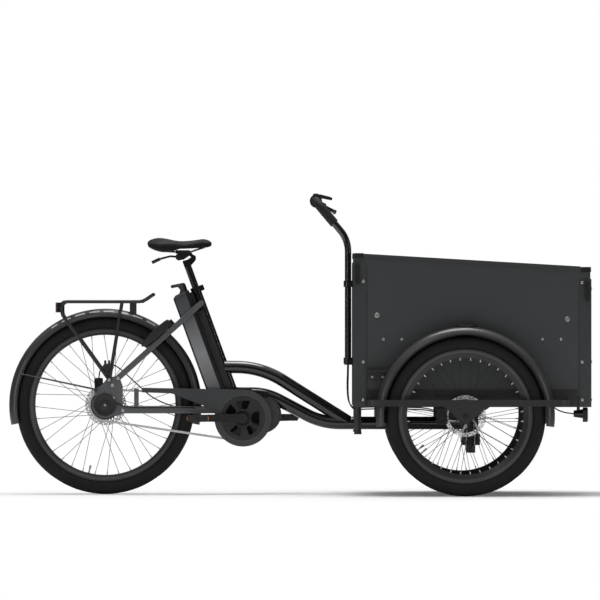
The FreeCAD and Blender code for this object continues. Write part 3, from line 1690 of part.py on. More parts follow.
def front_mudguards():
    reach = 97.0
    strap_half = 41.0
    strap_thick = 3.0
    strap_tall = 40.0
    strap_sunk = 3.0
    rear_behind = 378.0
    plate_low = 445.0
    plate_high = 484.0
    centre = vec(front_axle_x, wheel_half, front_radius)
    guard = mudguard(centre, front_guard_crown, front_guard_lip, front_guard_half, guard_sheet, -reach,
                     2 * reach)
    crown_z = front_radius + front_guard_crown
    left, right = front_axle_x - strap_half, front_axle_x + strap_half
    top = joined([
        block(left, right, box_half, box_half + strap_thick, crown_z - strap_tall, crown_z),
        block(left, right, box_half + strap_thick, wheel_half - front_guard_half / 3,
              crown_z - strap_thick - strap_sunk, crown_z - strap_sunk),
    ]).cut(guard)
    rear_x = front_axle_x - rear_behind
    rear_end = rear_x + 2 * strap_half
    rear = joined([
        block(rear_x, rear_end, box_half, box_half + strap_thick, plate_low, plate_high),
        block(rear_x, rear_end, box_half + strap_thick, wheel_half, plate_high - strap_thick, plate_high),
    ]).cut(guard)
    made = both_sides(guard)
    for piece in (top, rear):
        best = max(piece.Solids, key=lambda s: s.Volume)
        made.extend(both_sides(best))
    return made


# Front callipers

def front_calipers():
    width = 40.0
    height = 78.0
    corner = 8.0
    slot_gap = 1.2
    behind = 90.0
    rise = 4.0
    outboard = 8.0
    rail_room = 5.0
    x = front_axle_x - behind
    z = front_radius + rise
    inboard = wheel_half - front_hub_half
    body = side_slab([
        (x - width / 2, z - height / 2), (x + width / 2, z - height / 2),
        (x + width / 2, z + height / 2), (x - width / 2, z + height / 2),
    ], [corner] * 4, box_half + bracket_thick, inboard + outboard)
    slot = cross_rod(front_axle_x, front_radius, inboard - rotor_thick - slot_gap, inboard + slot_gap,
                     rotor_radius + slot_gap)
    body = body.cut(slot)
    return both_sides(body.cut(block(x - width, x + width, 0, wheel_half, box_base - rail_room,
                                     box_base + height)))


# Handlebar, grips, controls

elbow_bend = 45.0
leg_bend = 125.0


def bar_points():
    half = [
        vec(leg_x, leg_half, leg_bottom), vec(leg_x, leg_half, leg_corner_height),
        vec(crossbar_x, leg_half, crossbar_height),
    ]
    other = [vec(p.x, -p.y, p.z) for p in reversed(half)]
    return half + other


def handlebar(posts):
    clamp_tall = 24.0
    clamp_half = 18.0
    clamp_back = 5.0
    clamp_round = 14.0
    clamp_corner = 2.0
    upper_clamp = 820.0
    lower_clamp = 518.0
    bar = sweep(bar_points(), [leg_bend, elbow_bend, elbow_bend, leg_bend], bar_radius)
    made = [bar]
    for z in (upper_clamp, lower_clamp):
        low = leg_x - bar_radius - clamp_back
        clamp = plan_slab([(low, leg_half - clamp_half), (panel_rear, leg_half - clamp_half),
                           (panel_rear, leg_half + clamp_half), (low, leg_half + clamp_half)],
                          [clamp_round, clamp_corner, clamp_corner, clamp_round], z - clamp_tall / 2,
                          z + clamp_tall / 2)
        clamp = clamp.cut(rod(vec(leg_x, leg_half, z - clamp_tall), vec(leg_x, leg_half, z + clamp_tall),
                              bar_radius)).cut(posts)
        made.extend(both_sides(clamp))
    return made


grip_radius = 15.5
grip_down = 113.0
grip_in = 70.0


def grips():
    elbow = vec(crossbar_x, leg_half, crossbar_height)
    corner = vec(leg_x, leg_half, leg_corner_height)
    slope = (corner - elbow).normalize()
    start = elbow + slope * grip_down
    end = elbow - vec(0, grip_in, 0)
    sleeve = sweep([start, elbow, end], [elbow_bend], grip_radius)
    longer = [start + slope * overrun, elbow, end - vec(0, overrun, 0)]
    core = sweep(longer, [elbow_bend], bar_radius + running_gap)
    return both_sides(sleeve.cut(core))


lever_dip = math.radians(29.28)
lever_forward = vec(math.cos(lever_dip), 0, -math.sin(lever_dip))
lever_normal = vec(math.sin(lever_dip), 0, math.cos(lever_dip))
lever_share = 64.0 / 135.0
lever_y = leg_half * lever_share
lever_pivot = 38.0
lever_pin = 3.0
lever_half = 4.5
lever_length = 98.0
lever_ear = 9.0


def lever_place(s, t, n):
    # s outward along the bar, t forward from the bar, n across the lever; left side
    return vec(crossbar_x, lever_y + s, crossbar_height) + lever_forward * t + lever_normal * n


def lever_slab(points, radii, n0, n1):
    wire = outline(points, radii, lambda s, t: lever_place(s, t, n0))
    return Part.Face(wire).extrude(lever_normal * (n1 - n0))


def brake_lever():
    tip_ball = 7.0
    blade_shares = [(-0.092, 0.286), (0.092, 0.276), (0.245, 0.592), (0.898, 0.776), (1, 0.816),
                    (0.99, 0.918),
                    (0.857, 0.898), (0.102, 0.735), (-0.092, 0.49)]
    round_shares = [0.082, 0.082, 0.204, 0.306, 0.041, 0.041, 0.306, 0.204, 0.082]
    ball_shares = (0.959, 0.857)
    blade = lever_slab(shared(blade_shares, lever_length, 0, 0), rounded(round_shares, lever_length),
                       -lever_half, lever_half)
    ball_s, ball_t = rounded(ball_shares, lever_length)
    ball = Part.makeSphere(tip_ball, lever_place(ball_s, ball_t, 0))
    hole = rod(lever_place(0, lever_pivot, -2 * lever_half), lever_place(0, lever_pivot, 2 * lever_half),
               lever_pin + running_gap)
    return joined([blade, ball]).cut(hole)


def bar_controls():
    clamp_wall = 6.0
    cheek = 5.0
    arm_over = 4.0
    arm_corner = 6.0
    notch_half = 60.0
    notch_back = 13.0
    side_gap = 1.0
    twist_radius = 24.0
    twist_gap = 12.0
    screen_half = 38.0
    screen_size = 60.0
    stalk_half = 14.0
    screen_shares = [(0.1, -0.033), (1.033, -0.218), (1.1, -0.052), (0.167, 0.183)]
    screen_round_shares = [0.05, 0.067, 0.067, 0.05]
    bell_share = 0.671875
    bell_base = 17.0
    bell_top = 9.0
    bell_tall = 16.0
    bell_band = 6.0
    bell_sunk = 1.0
    ring = bar_radius + clamp_wall
    bell_y = lever_y * bell_share
    made = []
    clamp = cross_rod(crossbar_x, crossbar_height, lever_y - lever_ear, lever_y + lever_ear, ring)
    arm = lever_slab([(-lever_ear, 0), (lever_ear, 0), (lever_ear, lever_pivot + arm_over),
                      (-lever_ear, lever_pivot + arm_over)], [0, 0, arm_corner, arm_corner],
                     -lever_half - cheek, lever_half + cheek)
    notch_start, notch_end = lever_pivot - notch_back, lever_pivot + notch_half
    notch = lever_slab([(-notch_half, notch_start), (notch_half, notch_start), (notch_half, notch_end),
                        (-notch_half, notch_end)], [0, 0, 0, 0], -lever_half - free_gap,
                        lever_half + free_gap)
    pin = rod(lever_place(0, lever_pivot, -lever_half - cheek),
              lever_place(0, lever_pivot, lever_half + cheek),
              lever_pin)
    core = cross_rod(crossbar_x, crossbar_height, -leg_half, leg_half, bar_radius)
    bracket = joined([clamp, arm]).cut(notch).cut(core).fuse(pin)
    made.extend(both_sides(bracket))
    grip_end = leg_half - grip_in - side_gap
    twist = bush(crossbar_x, crossbar_height, -grip_end, -lever_y - twist_gap, twist_radius, bar_radius)
    made.append(twist)
    switch = bush(crossbar_x, crossbar_height, lever_y + twist_gap, grip_end, 2 * bar_radius, bar_radius)
    made.append(switch)
    screen = side_slab(shared(screen_shares, screen_size, crossbar_x, crossbar_height + ring),
                       rounded(screen_round_shares, screen_size), -screen_half, screen_half)
    stalk = cross_rod(crossbar_x, crossbar_height, -stalk_half, stalk_half, ring)
    made.append(joined([screen, stalk]).cut(core))
    bell = Part.makeCone(bell_base, bell_top, bell_tall,
                         vec(crossbar_x, bell_y, crossbar_height + ring - bell_sunk),
                         vec(0, 0, 1))
    band = cross_rod(crossbar_x, crossbar_height, bell_y - bell_band, bell_y + bell_band, ring)
    made.append(joined([bell, band]).cut(core))
    return made


# Headlight

def headlight():
    # case with a flat lens in front and a tapering body behind, on a strap under the base frame
    half = 26.0
    tall = 57.0
    under = 5.0
    lens_thick = 3.0
    lens_edge = 4.0
    set_back = 2.0
    shell_depth = 20.0
    body_length = 36.0
    body_radius = 18.0
    body_end = 13.0
    body_drop = 30.0
    strap_half = 10.0
    strap_near = 12.0
    strap_far = 24.0
    low_round = 10.0
    high_round = 14.0
    lens_round = 8.0
    front = box_front - set_back
    high = box_base - under
    low = high - tall
    back = front - shell_depth
    middle = box_base - body_drop
    rounds = [low_round, low_round, high_round, high_round]
    shell = front_slab([(-half, low), (half, low), (half, high), (-half, high)], rounds, back,
                       front - lens_thick)
    edge = half - lens_edge
    lens = front_slab([(-edge, low + lens_edge), (edge, low + lens_edge), (edge, high - lens_edge),
                       (-edge, high - lens_edge)], [lens_round] * 4, front - lens_thick, front)
    body = Part.makeCone(body_end, body_radius, body_length, vec(back - body_length, 0, middle),
                         vec(1, 0, 0))
    strap = block(back - strap_far, back - strap_near, -strap_half, strap_half, middle, box_base)
    return [joined([shell, body, strap]), lens]


# Fasteners

large_share = 0.445
small_shares = (0.57, 0.925)


def box_bolts():
    post = 6.0
    high = 3.5
    large = 10.0
    small = 5.5
    rear_inset = 40.0
    front_inset = 36.0
    return_inset = 20.0
    upper_rear = 828.0
    upper_front = 824.0
    upper_end = 800.0
    middle = 517.0
    lower = 371.0
    large_rear_height = 697.0
    large_front_height = 683.0
    large_rear = (panel_rear + bench_depth * large_share, large_rear_height)
    large_front = (panel_front - bench_depth * large_share, large_front_height)
    cleat_drop = 17.0
    strap_places = (282.0, 323.0)
    strap_height = 460.0
    strap_thick = 3.0
    side_y = box_half + post_thick
    out = vec(0, 1, 0)
    made = []
    for x, top in ((box_rear + rear_inset, upper_rear), (box_front - front_inset, upper_front)):
        for z in (top, middle, lower):
            made.append(dome_head(vec(x, side_y, z), out, post, high))
    for x, z in (large_rear, large_front):
        made.append(dome_head(vec(x, box_half, z), out, large, high))
    for share in small_shares:
        for x in (panel_rear + bench_depth * share, panel_front - bench_depth * share):
            made.append(dome_head(vec(x, box_half, bench_level - cleat_drop), out, small, high))
    for x in strap_places:
        made.append(dome_head(vec(x, box_half + strap_thick, strap_height), out, small, high))
    both = []
    for head in made:
        both.extend(both_sides(head))
    for side in (-1, 1):
        for z in (upper_end, middle, lower):
            both.append(dome_head(vec(box_front, side * (box_half - return_inset), z), vec(1, 0, 0),
                                  post, high))
    return both


def frame_bolts(neighbours):
    head = 6.5
    high = 4.0
    sunk = 0.5
    plate_size = 77.5
    upper_shares = (0.361, 1)
    stay_shares = (0.658, 1.348)
    hub_shares = (0.413, 0.342)
    lower_shares = (0.903, -0.265)
    stay_face = dropout_half + dropout_thick / 2 + stay_wide / 2 - sunk
    chainstay_face = dropout_half + dropout_thick / 2 + chainstay_wide / 2 - sunk
    places = [(rack_lug_ahead, rack_lug_rise, dropout_outer + 2 * rack_lug_half)]
    for shares, face in ((upper_shares, dropout_outer), (stay_shares, stay_face),
                         (hub_shares, dropout_outer),
                         (lower_shares, chainstay_face)):
        places.append((shares[0] * plate_size, shares[1] * plate_size, face))
    made = []
    for side in (-1, 1):
        for ahead, rise, y in places:
            point = vec(rear_axle_x + ahead, side * y, rear_radius + rise)
            bolt = dome_head(point, vec(0, side, 0), head, high).cut(neighbours)
            made.append(max(bolt.Solids, key=lambda s: s.Volume))
    return made


# Hoses held along the machine

hose_radius = 2.5


def front_hoses(neighbours):
    x = leg_x
    y = leg_half
    z = leg_bottom
    under = box_base - 8.0
    brake = [
        vec(x, y, z + 1), vec(x - 0.5, y + 2, z - 37), vec(x - 2, y + 8, z - 75),
        vec(x - 1.5, y + 17, z - 109),
        vec(x + 1, y + 24, z - 135), vec(x + 5.5, y + 27, z - 153), vec(x + 13, y + 25, z - 165),
        vec(x + 23, y + 17.5, under - 1), vec(x + 41, y + 7.5, under - 1.5), vec(x + 72, y - 1, under),
        vec(x + 122, y - 8, under + 1), vec(x + 180, y - 10, under), vec(x + 240, y - 4, under - 1),
        vec(x + 285, y + 16, under - 2), vec(x + 315, y + 42, under - 6), vec(x + 342, y + 57, under - 13),
    ]
    lamp_x = box_front - 58.0
    lamp = [vec(lamp_x - 82, 0, box_base + 1), vec(lamp_x - 66, 0, box_base - 14),
            vec(lamp_x - 38, 0, box_base - 25), vec(lamp_x + 1, 0, box_base - 30)]
    made = both_sides(cord(brake, hose_radius)) + [cord(lamp, hose_radius)]
    return [max(hose.cut(neighbours).Solids, key=lambda s: s.Volume) for hose in made]


def rear_hoses(neighbours):
    x, z = rear_axle_x, rear_radius
    lift = hose_radius + 4 * running_gap
    shift = [vec(x + 34, -dropout_outer - lift, z + 14), vec(x + 62, -chainstay_side(x + 62) - lift, z - 2)]
    sag = 0.8
    for ahead, drop in ((100.0, 0), (150.0, sag), (200.0, 0), (250.0, sag), (300.0, 0), (350.0, sag)):
        shift.append(vec(x + ahead, -chainstay_side(x + ahead) - lift, z - 9 - drop))
    brake = [
        vec(x - 27, 50, z + 104), vec(x - 23, 56, z + 137), vec(x - 1, 76, z + 161),
        vec(x + 34, 84.5, z + 155),
        vec(x + 66, 86, z + 132), vec(x + 101, 83, z + 99), vec(x + 136, 77, z + 67),
        vec(x + 176, 70, z + 32),
        vec(x + 221, 65, z + 8), vec(x + 271, 61, z - 8), vec(x + 326, 57.2, z - 14),
        vec(x + 376, 54, z - 16),
        vec(x + 426, 50.8, z - 17), vec(x + 508, 46, z - 22),
    ]
    return [max(cord(path, hose_radius).cut(neighbours).Solids,
                key=lambda s: s.Volume) for path in (shift, brake)]


# Build every piece and write it

def build():
    frame = main_frame()
    plates = [dropout(-1), dropout(1)]
    plate_group = Part.makeCompound(plates)
    stays = rear_stays(frame, plate_group)
    rack = rear_rack()
    panels = box_panels()
    panel_group = Part.makeCompound(panels)
    posts = corner_posts()
    lever = brake_lever()
    motor = motor_housing(frame)
    rear_brake = rear_caliper()
    front_brakes = front_calipers()
    bar = handlebar(Part.makeCompound(posts))
    base = base_frame()
    lamp = headlight()
    nodes = {
        "main_frame": [frame, seat_clamp()],
        "rear_stays": stays,
        "dropouts": plates,
        "motor_housing": motor,
        "chain_guard": chain_guard(),
        "battery_dock": battery_dock(frame),
        "battery_pack": battery_pack(),
        "rear_mudguard": rear_mudguard(rack),
        "rear_rack": [rack],
        "tail_light": tail_light(rack),
        "ring_lock_case": ring_lock_case(stays),
        "ring_lock_bolt": ring_lock_bolt(),
        "rear_caliper": rear_brake,
        "rear_axle": rear_axle_bar(),
        "rear_sprocket": sprocket(),
        "chain": chain(),
        "chainring": chainring(),
        "crank_arms": cranks(),
        "pedal_right": pedal(-1),
        "pedal_left": pedal(1),
        "seat_post": seat_post(),
        "saddle_frame": saddle_frame(),
        "saddle_cover": saddle_cover(),
        "saddle_lever": saddle_lever(),
        "frame_bolts": frame_bolts(Part.makeCompound(stays + plates + [rack])),
        "rear_hoses": rear_hoses(Part.makeCompound(stays + plates + motor + rear_brake)),
        "box_floor": box_floor(),
        "box_panels": panels,
        "corner_posts": posts,
        "top_rails": top_rails(panel_group),
        "corner_caps": corner_caps(panel_group),
        "base_frame": base,
        "wheel_outriggers": wheel_outriggers(),
        "front_axles": front_axles(),
        "front_mudguards": front_mudguards(),
        "front_calipers": front_brakes,
        "handlebar": bar,
        "grips": grips(),
        "bar_controls": bar_controls(),
        "brake_lever_left": [lever],
        "brake_lever_right": [mirrored(lever)],
        "headlight": lamp,
        "benches": benches(),
        "box_bolts": box_bolts(),
        "front_hoses": front_hoses(Part.makeCompound(front_brakes + bar + base + lamp)),
    }
    nodes.update(rear_wheel())
    nodes.update(front_wheel(-1, "front_right"))
    nodes.update(front_wheel(1, "front_left"))
    return nodes


os.makedirs("parts", exist_ok=True)
for node, solids in build().items():
    for solid in solids:
        if not solid.isValid() or solid.Volume <= 0 or len(solid.Solids) != 1:
            print("check", node, solid.isValid(), solid.Volume, len(solid.Solids))
    shape = solids[0] if len(solids) == 1 else Part.makeCompound(solids)
    shape.exportStep("parts/" + node + ".step")
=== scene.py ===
import math
import bpy
import bmesh
from mathutils import Matrix, Vector


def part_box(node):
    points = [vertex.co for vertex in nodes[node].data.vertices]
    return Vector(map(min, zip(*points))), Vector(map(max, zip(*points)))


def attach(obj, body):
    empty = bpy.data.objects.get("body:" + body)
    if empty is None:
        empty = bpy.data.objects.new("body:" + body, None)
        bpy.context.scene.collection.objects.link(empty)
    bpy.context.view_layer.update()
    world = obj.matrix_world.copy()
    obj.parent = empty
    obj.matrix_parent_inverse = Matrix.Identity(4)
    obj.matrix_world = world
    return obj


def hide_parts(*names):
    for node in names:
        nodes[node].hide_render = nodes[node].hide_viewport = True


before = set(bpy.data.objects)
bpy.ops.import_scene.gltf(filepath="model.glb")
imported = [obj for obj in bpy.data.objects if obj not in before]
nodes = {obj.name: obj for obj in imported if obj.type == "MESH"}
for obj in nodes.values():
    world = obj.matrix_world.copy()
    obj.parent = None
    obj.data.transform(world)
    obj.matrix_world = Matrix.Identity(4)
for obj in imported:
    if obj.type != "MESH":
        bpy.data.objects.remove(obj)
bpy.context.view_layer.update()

bpy.ops.object.select_all(action="DESELECT")
print("frame loaded:", len(nodes), "CAD pieces")

# places on the machine, in metres
rearWheel = {"centre": Vector((-0.756, 0, 0.3475)), "tyre": 0.3475, "rimInner": 0.273}
leftWheel = {"centre": Vector((0.640, 0.378, 0.309)), "tyre": 0.309, "rimInner": 0.225}
rightWheel = {"centre": Vector((0.640, -0.378, 0.309)), "tyre": 0.309, "rimInner": 0.225}
crankAxis = Vector((-0.219364, 0, 0.297))
seatLean = math.radians(20.0)


# tools for shader nodes
def feed(tree, socket, value):
    if isinstance(value, bpy.types.NodeSocket):
        tree.links.new(value, socket)
    else:
        socket.default_value = value


def addNode(tree, kind, inputs=None, **settings):
    node = tree.nodes.new("ShaderNode" + kind)
    for label, value in settings.items():
        setattr(node, label, value)
    for label, value in (inputs or {}).items():
        feed(tree, node.inputs[label], value)
    return node


def addMath(tree, kind, a, b=None, clamp=False):
    inputs = {0: a} if b is None else {0: a, 1: b}
    return addNode(tree, "Math", inputs, operation=kind, use_clamp=clamp).outputs[0]


def addMix(tree, factor, a, b):
    return addNode(tree, "Mix", {0: factor, 6: a, 7: b}, data_type="RGBA").outputs[2]


def addRamp(tree, source, span, levels=(0.0, 1.0)):
    inputs = {"Value": source, "From Min": span[0], "From Max": span[1], "To Min": levels[0],
              "To Max": levels[1]}
    return addNode(tree, "MapRange", inputs).outputs["Result"]


def addWhere(tree):
    return addNode(tree, "TexCoord").outputs["Object"]


def addAxes(tree, vector):
    return addNode(tree, "SeparateXYZ", {0: vector}).outputs


# camera, floor and light
studio = {
    "cameraAt": (0.0027, -31.0, 0.7566), "lens": 476.9, "sensor": 36.0, "seesTo": 300.0,
    "floorRadius": 3.2, "floorSides": 96, "floorColor": (0.84, 0.84, 0.84, 1), "floorRough": 0.9,
    "floorSpec": 0.1, "floorGlow": (0.02, 0.6), "glowFrom": (1.2, 2.6),
    "skyLevels": (0.11, 1.1), "skyFrom": (0.45, 0.95),
    "lights": (
        ("topSoftbox", (0.1, 0.1, 5.2), (0, 0, 0.2), 2.4, 2.4, 165),
        ("nearStrip", (-1.6, -5.5, 3.8), (-0.1, 0, 0.5), 1.6, 1.6, 20),
        ("tallStripLeft", (-5.2, -4.2, 1.3), (-0.2, 0, 0.7), 0.35, 3.0, 40),
        ("tallStripRight", (5.4, -4.0, 1.3), (0.2, 0, 0.7), 0.35, 3.0, 34),
        ("farFill", (1.0, 5.0, 3.0), (0, 0, 0.5), 3.0, 3.0, 26),
    ),
}


def newMaterial(name):
    material = bpy.data.materials.new(name)
    material.use_nodes = True
    return material, material.node_tree, material.node_tree.nodes["Principled BSDF"]


def setCamera():
    camData = bpy.data.cameras.new("photoCamera")
    camData.lens = studio["lens"]
    camData.sensor_width = studio["sensor"]
    camData.clip_end = studio["seesTo"]
    cam = bpy.data.objects.new("photoCamera", camData)
    bpy.context.scene.collection.objects.link(cam)
    cam.location = studio["cameraAt"]
    cam.rotation_euler = (math.pi / 2, 0, 0)
    bpy.context.scene.camera = cam


def setFloor():
    bpy.ops.mesh.primitive_circle_add(vertices=studio["floorSides"], radius=studio["floorRadius"],
                                      fill_type="NGON", location=(0, 0, 0))
    floor = bpy.context.object
    floor.name = "studioFloor"
    floorMat, tree, shader = newMaterial("paleFloor")
    shader.inputs["Base Color"].default_value = studio["floorColor"]
    shader.inputs["Roughness"].default_value = studio["floorRough"]
    shader.inputs["Specular IOR Level"].default_value = studio["floorSpec"]
    shader.inputs["Emission Color"].default_value = (1, 1, 1, 1)
    # glow towards the rim only, so the shade under the machine stays
    away = addNode(tree, "VectorMath", {0: addWhere(tree)}, operation="LENGTH").outputs["Value"]
    feed(tree, shader.inputs["Emission Strength"],
         addRamp(tree, away, studio["glowFrom"], studio["floorGlow"]))
    floor.data.materials.append(floorMat)


def setSky():
    # white behind the machine, bright overhead, darker to the sides
    world = bpy.data.worlds.new("softStudio")
    world.use_nodes = True
    bpy.context.scene.world = world
    tree = world.node_tree
    back = tree.nodes["Background"]
    back.inputs["Color"].default_value = (1, 1, 1, 1)
    rise = addAxes(tree, addNode(tree, "TexCoord").outputs["Generated"])["Z"]
    level = addRamp(tree, rise, studio["skyFrom"], studio["skyLevels"])
    seen = addNode(tree, "LightPath").outputs["Is Camera Ray"]
    feed(tree, back.inputs["Strength"], addMath(tree, "MAXIMUM", seen, level))


def setLights():
    for name, at, aim, wide, tall, power in studio["lights"]:
        lightData = bpy.data.lights.new(name, "AREA")
        lightData.shape = "RECTANGLE"
        lightData.size = wide
        lightData.size_y = tall
        lightData.energy = power
        light = bpy.data.objects.new(name, lightData)
        bpy.context.scene.collection.objects.link(light)
        light.location = at
        light.rotation_euler = (Vector(aim) - Vector(at)).to_track_quat("-Z", "Y").to_euler()


setCamera()
setFloor()
setSky()
setLights()
bpy.context.scene.view_settings.view_transform = "Standard"
print("studio set")


# shader node groups shared by the finishes
def newGroup(name, inputs, outputs):
    group = bpy.data.node_groups.new(name, "ShaderNodeTree")
    for label, kind, value in inputs:
        socket = group.interface.new_socket(label, in_out="INPUT", socket_type=kind)
        if value is not None:
            socket.default_value = value
    for label, kind in outputs:
        group.interface.new_socket(label, in_out="OUTPUT", socket_type=kind)
    return group, group.nodes.new("NodeGroupInput").outputs, group.nodes.new("NodeGroupOutput").inputs


# colour drift, dust that settles low down, and a fine grain for bump
wearDetail = {"broadScale": 9.0, "broadDetail": 4.0, "grainDetail": 3.0, "dustHeight": (0.55, 0.0),
              "dustPatch": (0.35, 0.75), "dustColor": (0.32, 0.30, 0.27, 1), "roughSwing": 0.18}


def makeSurfaceGroup():
    group, given, result = newGroup(
        "surfaceDetail",
        [("Color", "NodeSocketColor", (0.1, 0.1, 0.1, 1)), ("Drift", "NodeSocketFloat", 0.1),
         ("Dust", "NodeSocketFloat", 0.05), ("Grain Scale", "NodeSocketFloat", 400.0),
         ("Roughness", "NodeSocketFloat", 0.4)],
        [("Color", "NodeSocketColor"), ("Roughness", "NodeSocketFloat"), ("Height", "NodeSocketFloat")])
    where = addWhere(group)
    broad = addNode(group, "TexNoise", {"Vector": where, "Scale": wearDetail["broadScale"],
                                        "Detail": wearDetail["broadDetail"]}).outputs["Fac"]
    grain = addNode(group, "TexNoise", {"Vector": where, "Scale": given["Grain Scale"],
                                        "Detail": wearDetail["grainDetail"]}).outputs["Fac"]
    low = addRamp(group, addAxes(group, where)["Z"], wearDetail["dustHeight"])
    dustMask = addMath(group, "MULTIPLY", addMath(group, "MULTIPLY", low, given["Dust"]),
                       addRamp(group, broad, wearDetail["dustPatch"]), True)
    swing = addMath(group, "MULTIPLY", addMath(group, "SUBTRACT", broad, 0.5), given["Drift"])
    bright = addNode(group, "HueSaturation",
                     {"Value": addMath(group, "ADD", swing, 1.0), "Color": given["Color"]})
    feed(group, result["Color"], addMix(group, dustMask, bright.outputs["Color"], wearDetail["dustColor"]))
    rougher = addMath(group, "MULTIPLY", addMath(group, "SUBTRACT", grain, 0.5), wearDetail["roughSwing"])
    feed(group, result["Roughness"], addMath(group, "ADD", given["Roughness"], rougher, True))
    feed(group, result["Height"], grain)
    return group


def makePolarGroup():
    # distance from a wheel's axle and angle round it
    group, given, result = newGroup(
        "roundAxle", [("Centre", "NodeSocketVector", None)],
        [("Radius", "NodeSocketFloat"), ("Angle", "NodeSocketFloat"), ("Across", "NodeSocketFloat")])
    offset = addNode(group, "VectorMath", {0: addWhere(group), 1: given["Centre"]}, operation="SUBTRACT")
    axes = addAxes(group, offset.outputs[0])
    square = addMath(group, "ADD", addMath(group, "MULTIPLY", axes["X"], axes["X"]),
                     addMath(group, "MULTIPLY", axes["Z"], axes["Z"]))
    feed(group, result["Radius"], addMath(group, "SQRT", square))
    feed(group, result["Angle"], addMath(group, "ARCTAN2", axes["X"], axes["Z"]))
    feed(group, result["Across"], axes["Y"])
    return group


surfaceDetail = makeSurfaceGroup()
roundAxle = makePolarGroup()
print("shader groups built")

# what a finish has when it doesn't say otherwise
usual = {"spec": 0.5, "metal": 0.0, "coat": 0.0, "coatRough": 0.08, "drift": 0.2, "dust": 0.02,
         "depth": 0.0006}

# plain finishes: colour, roughness, grain scale, bump strength, and what differs from the usual
finishes = {
    "frameGloss": {"color": (0.0035, 0.0035, 0.0038), "rough": 0.16, "grain": 900, "bump": 0.04,
                   "coat": 0.3, "dust": 0.01},
    "stayGrey": {"color": (0.116, 0.120, 0.126), "rough": 0.38, "grain": 2400, "bump": 0.12,
                 "metal": 0.5, "drift": 0.12},
    "powderBlack": {"color": (0.018, 0.018, 0.019), "rough": 0.42, "grain": 1500, "bump": 0.24,
                    "spec": 0.4},
    "panelGrey": {"color": (0.044, 0.046, 0.048), "rough": 0.42, "grain": 700, "bump": 0.12,
                  "spec": 0.4, "drift": 0.06, "dust": 0.01},
    "postGrey": {"color": (0.040, 0.042, 0.044), "rough": 0.36, "grain": 1300, "bump": 0.12,
                 "spec": 0.4, "drift": 0.1},
    "railGrey": {"color": (0.06, 0.062, 0.064), "rough": 0.36, "grain": 1300, "bump": 0.12,
                 "metal": 0.4, "drift": 0.1},
    "mouldedBlack": {"color": (0.014, 0.014, 0.015), "rough": 0.44, "grain": 800, "bump": 0.32,
                     "spec": 0.4},
    "motorGrey": {"color": (0.034, 0.0348, 0.036), "rough": 0.4, "grain": 1600, "bump": 0.24,
                  "spec": 0.45, "drift": 0.15},
    "hubBlack": {"color": (0.02, 0.02, 0.021), "rough": 0.33, "grain": 1500, "bump": 0.12,
                 "metal": 0.4, "dust": 0.03},
    "boltZinc": {"color": (0.5, 0.5, 0.51), "rough": 0.3, "grain": 1800, "bump": 0.12, "metal": 0.9,
                 "drift": 0.3},
    "chainSteel": {"color": (0.55, 0.55, 0.55), "rough": 0.42, "grain": 1200, "bump": 0.16,
                   "metal": 0.45, "drift": 0.5, "dust": 0.04},
    "darkSteel": {"color": (0.02, 0.02, 0.021), "rough": 0.38, "grain": 1200, "bump": 0.16,
                  "metal": 0.6, "drift": 0.4, "dust": 0.03},
    "forgedBlack": {"color": (0.013, 0.013, 0.0135), "rough": 0.24, "grain": 1500, "bump": 0.12,
                    "metal": 0.2, "coat": 0.35},
    "gripRubber": {"color": (0.012, 0.012, 0.012), "rough": 0.7, "grain": 520, "bump": 1.0,
                   "spec": 0.3, "dust": 0.01},
    "hoseRubber": {"color": (0.01, 0.01, 0.01), "rough": 0.5, "grain": 900, "bump": 0.24, "spec": 0.3},
    "bumperRubber": {"color": (0.009, 0.009, 0.0095), "rough": 0.36, "grain": 700, "bump": 0.48},
    # black for the plate that stands in for shade behind the chainring
    "shadeBlack": {"color": (0.003, 0.003, 0.003), "rough": 0.6, "grain": 700, "bump": 0.2,
                   "spec": 0.1, "dust": 0.0},
    "treadRubber": {"color": (0.011, 0.011, 0.0115), "rough": 0.62, "grain": 600, "bump": 0.4,
                    "spec": 0.18, "drift": 0.25},
    "frontGuard": {"color": (0.03, 0.0305, 0.031), "rough": 0.3, "grain": 1600, "bump": 0.12,
                   "drift": 0.15, "depth": 0.0005},
    "amberLens": {"color": (0.75, 0.2, 0.02), "rough": 0.18, "grain": 420, "bump": 0.8, "coat": 0.5,
                  "drift": 0.3},
    "screenGlass": {"color": (0.004, 0.005, 0.006), "rough": 0.08, "grain": 300, "bump": 0.008,
                    "coat": 0.8, "drift": 0.1, "dust": 0.0},
    "valveBrass": {"color": (0.32, 0.31, 0.29), "rough": 0.34, "grain": 1600, "bump": 0.2,
                   "metal": 0.9, "drift": 0.3},
}


def addSurface(tree, shader, spec, color=None):
    full = {**usual, **spec}
    if color is None:
        color = (*full["color"], 1)
    detail = addNode(tree, "Group", {"Color": color, "Drift": full["drift"], "Dust": full["dust"],
                                     "Grain Scale": full["grain"], "Roughness": full["rough"]},
                     node_tree=surfaceDetail).outputs
    for label, value in (("Base Color", detail["Color"]), ("Roughness", detail["Roughness"]),
                         ("Metallic", full["metal"]), ("Specular IOR Level", full["spec"]),
                         ("Coat Weight", full["coat"]), ("Coat Roughness", full["coatRough"])):
        feed(tree, shader.inputs[label], value)
    return detail["Height"]


def addBump(tree, shader, height, spec):
    full = {**usual, **spec}
    bump = addNode(tree, "Bump", {"Height": height, "Strength": full["bump"], "Distance": full["depth"]})
    feed(tree, shader.inputs["Normal"], bump.outputs["Normal"])


def makeFinish(name):
    material, tree, shader = newMaterial(name)
    addBump(tree, shader, addSurface(tree, shader, finishes[name]), finishes[name])
    return material


def addPolar(tree, centre):
    return addNode(tree, "Group", {"Centre": centre}, node_tree=roundAxle).outputs
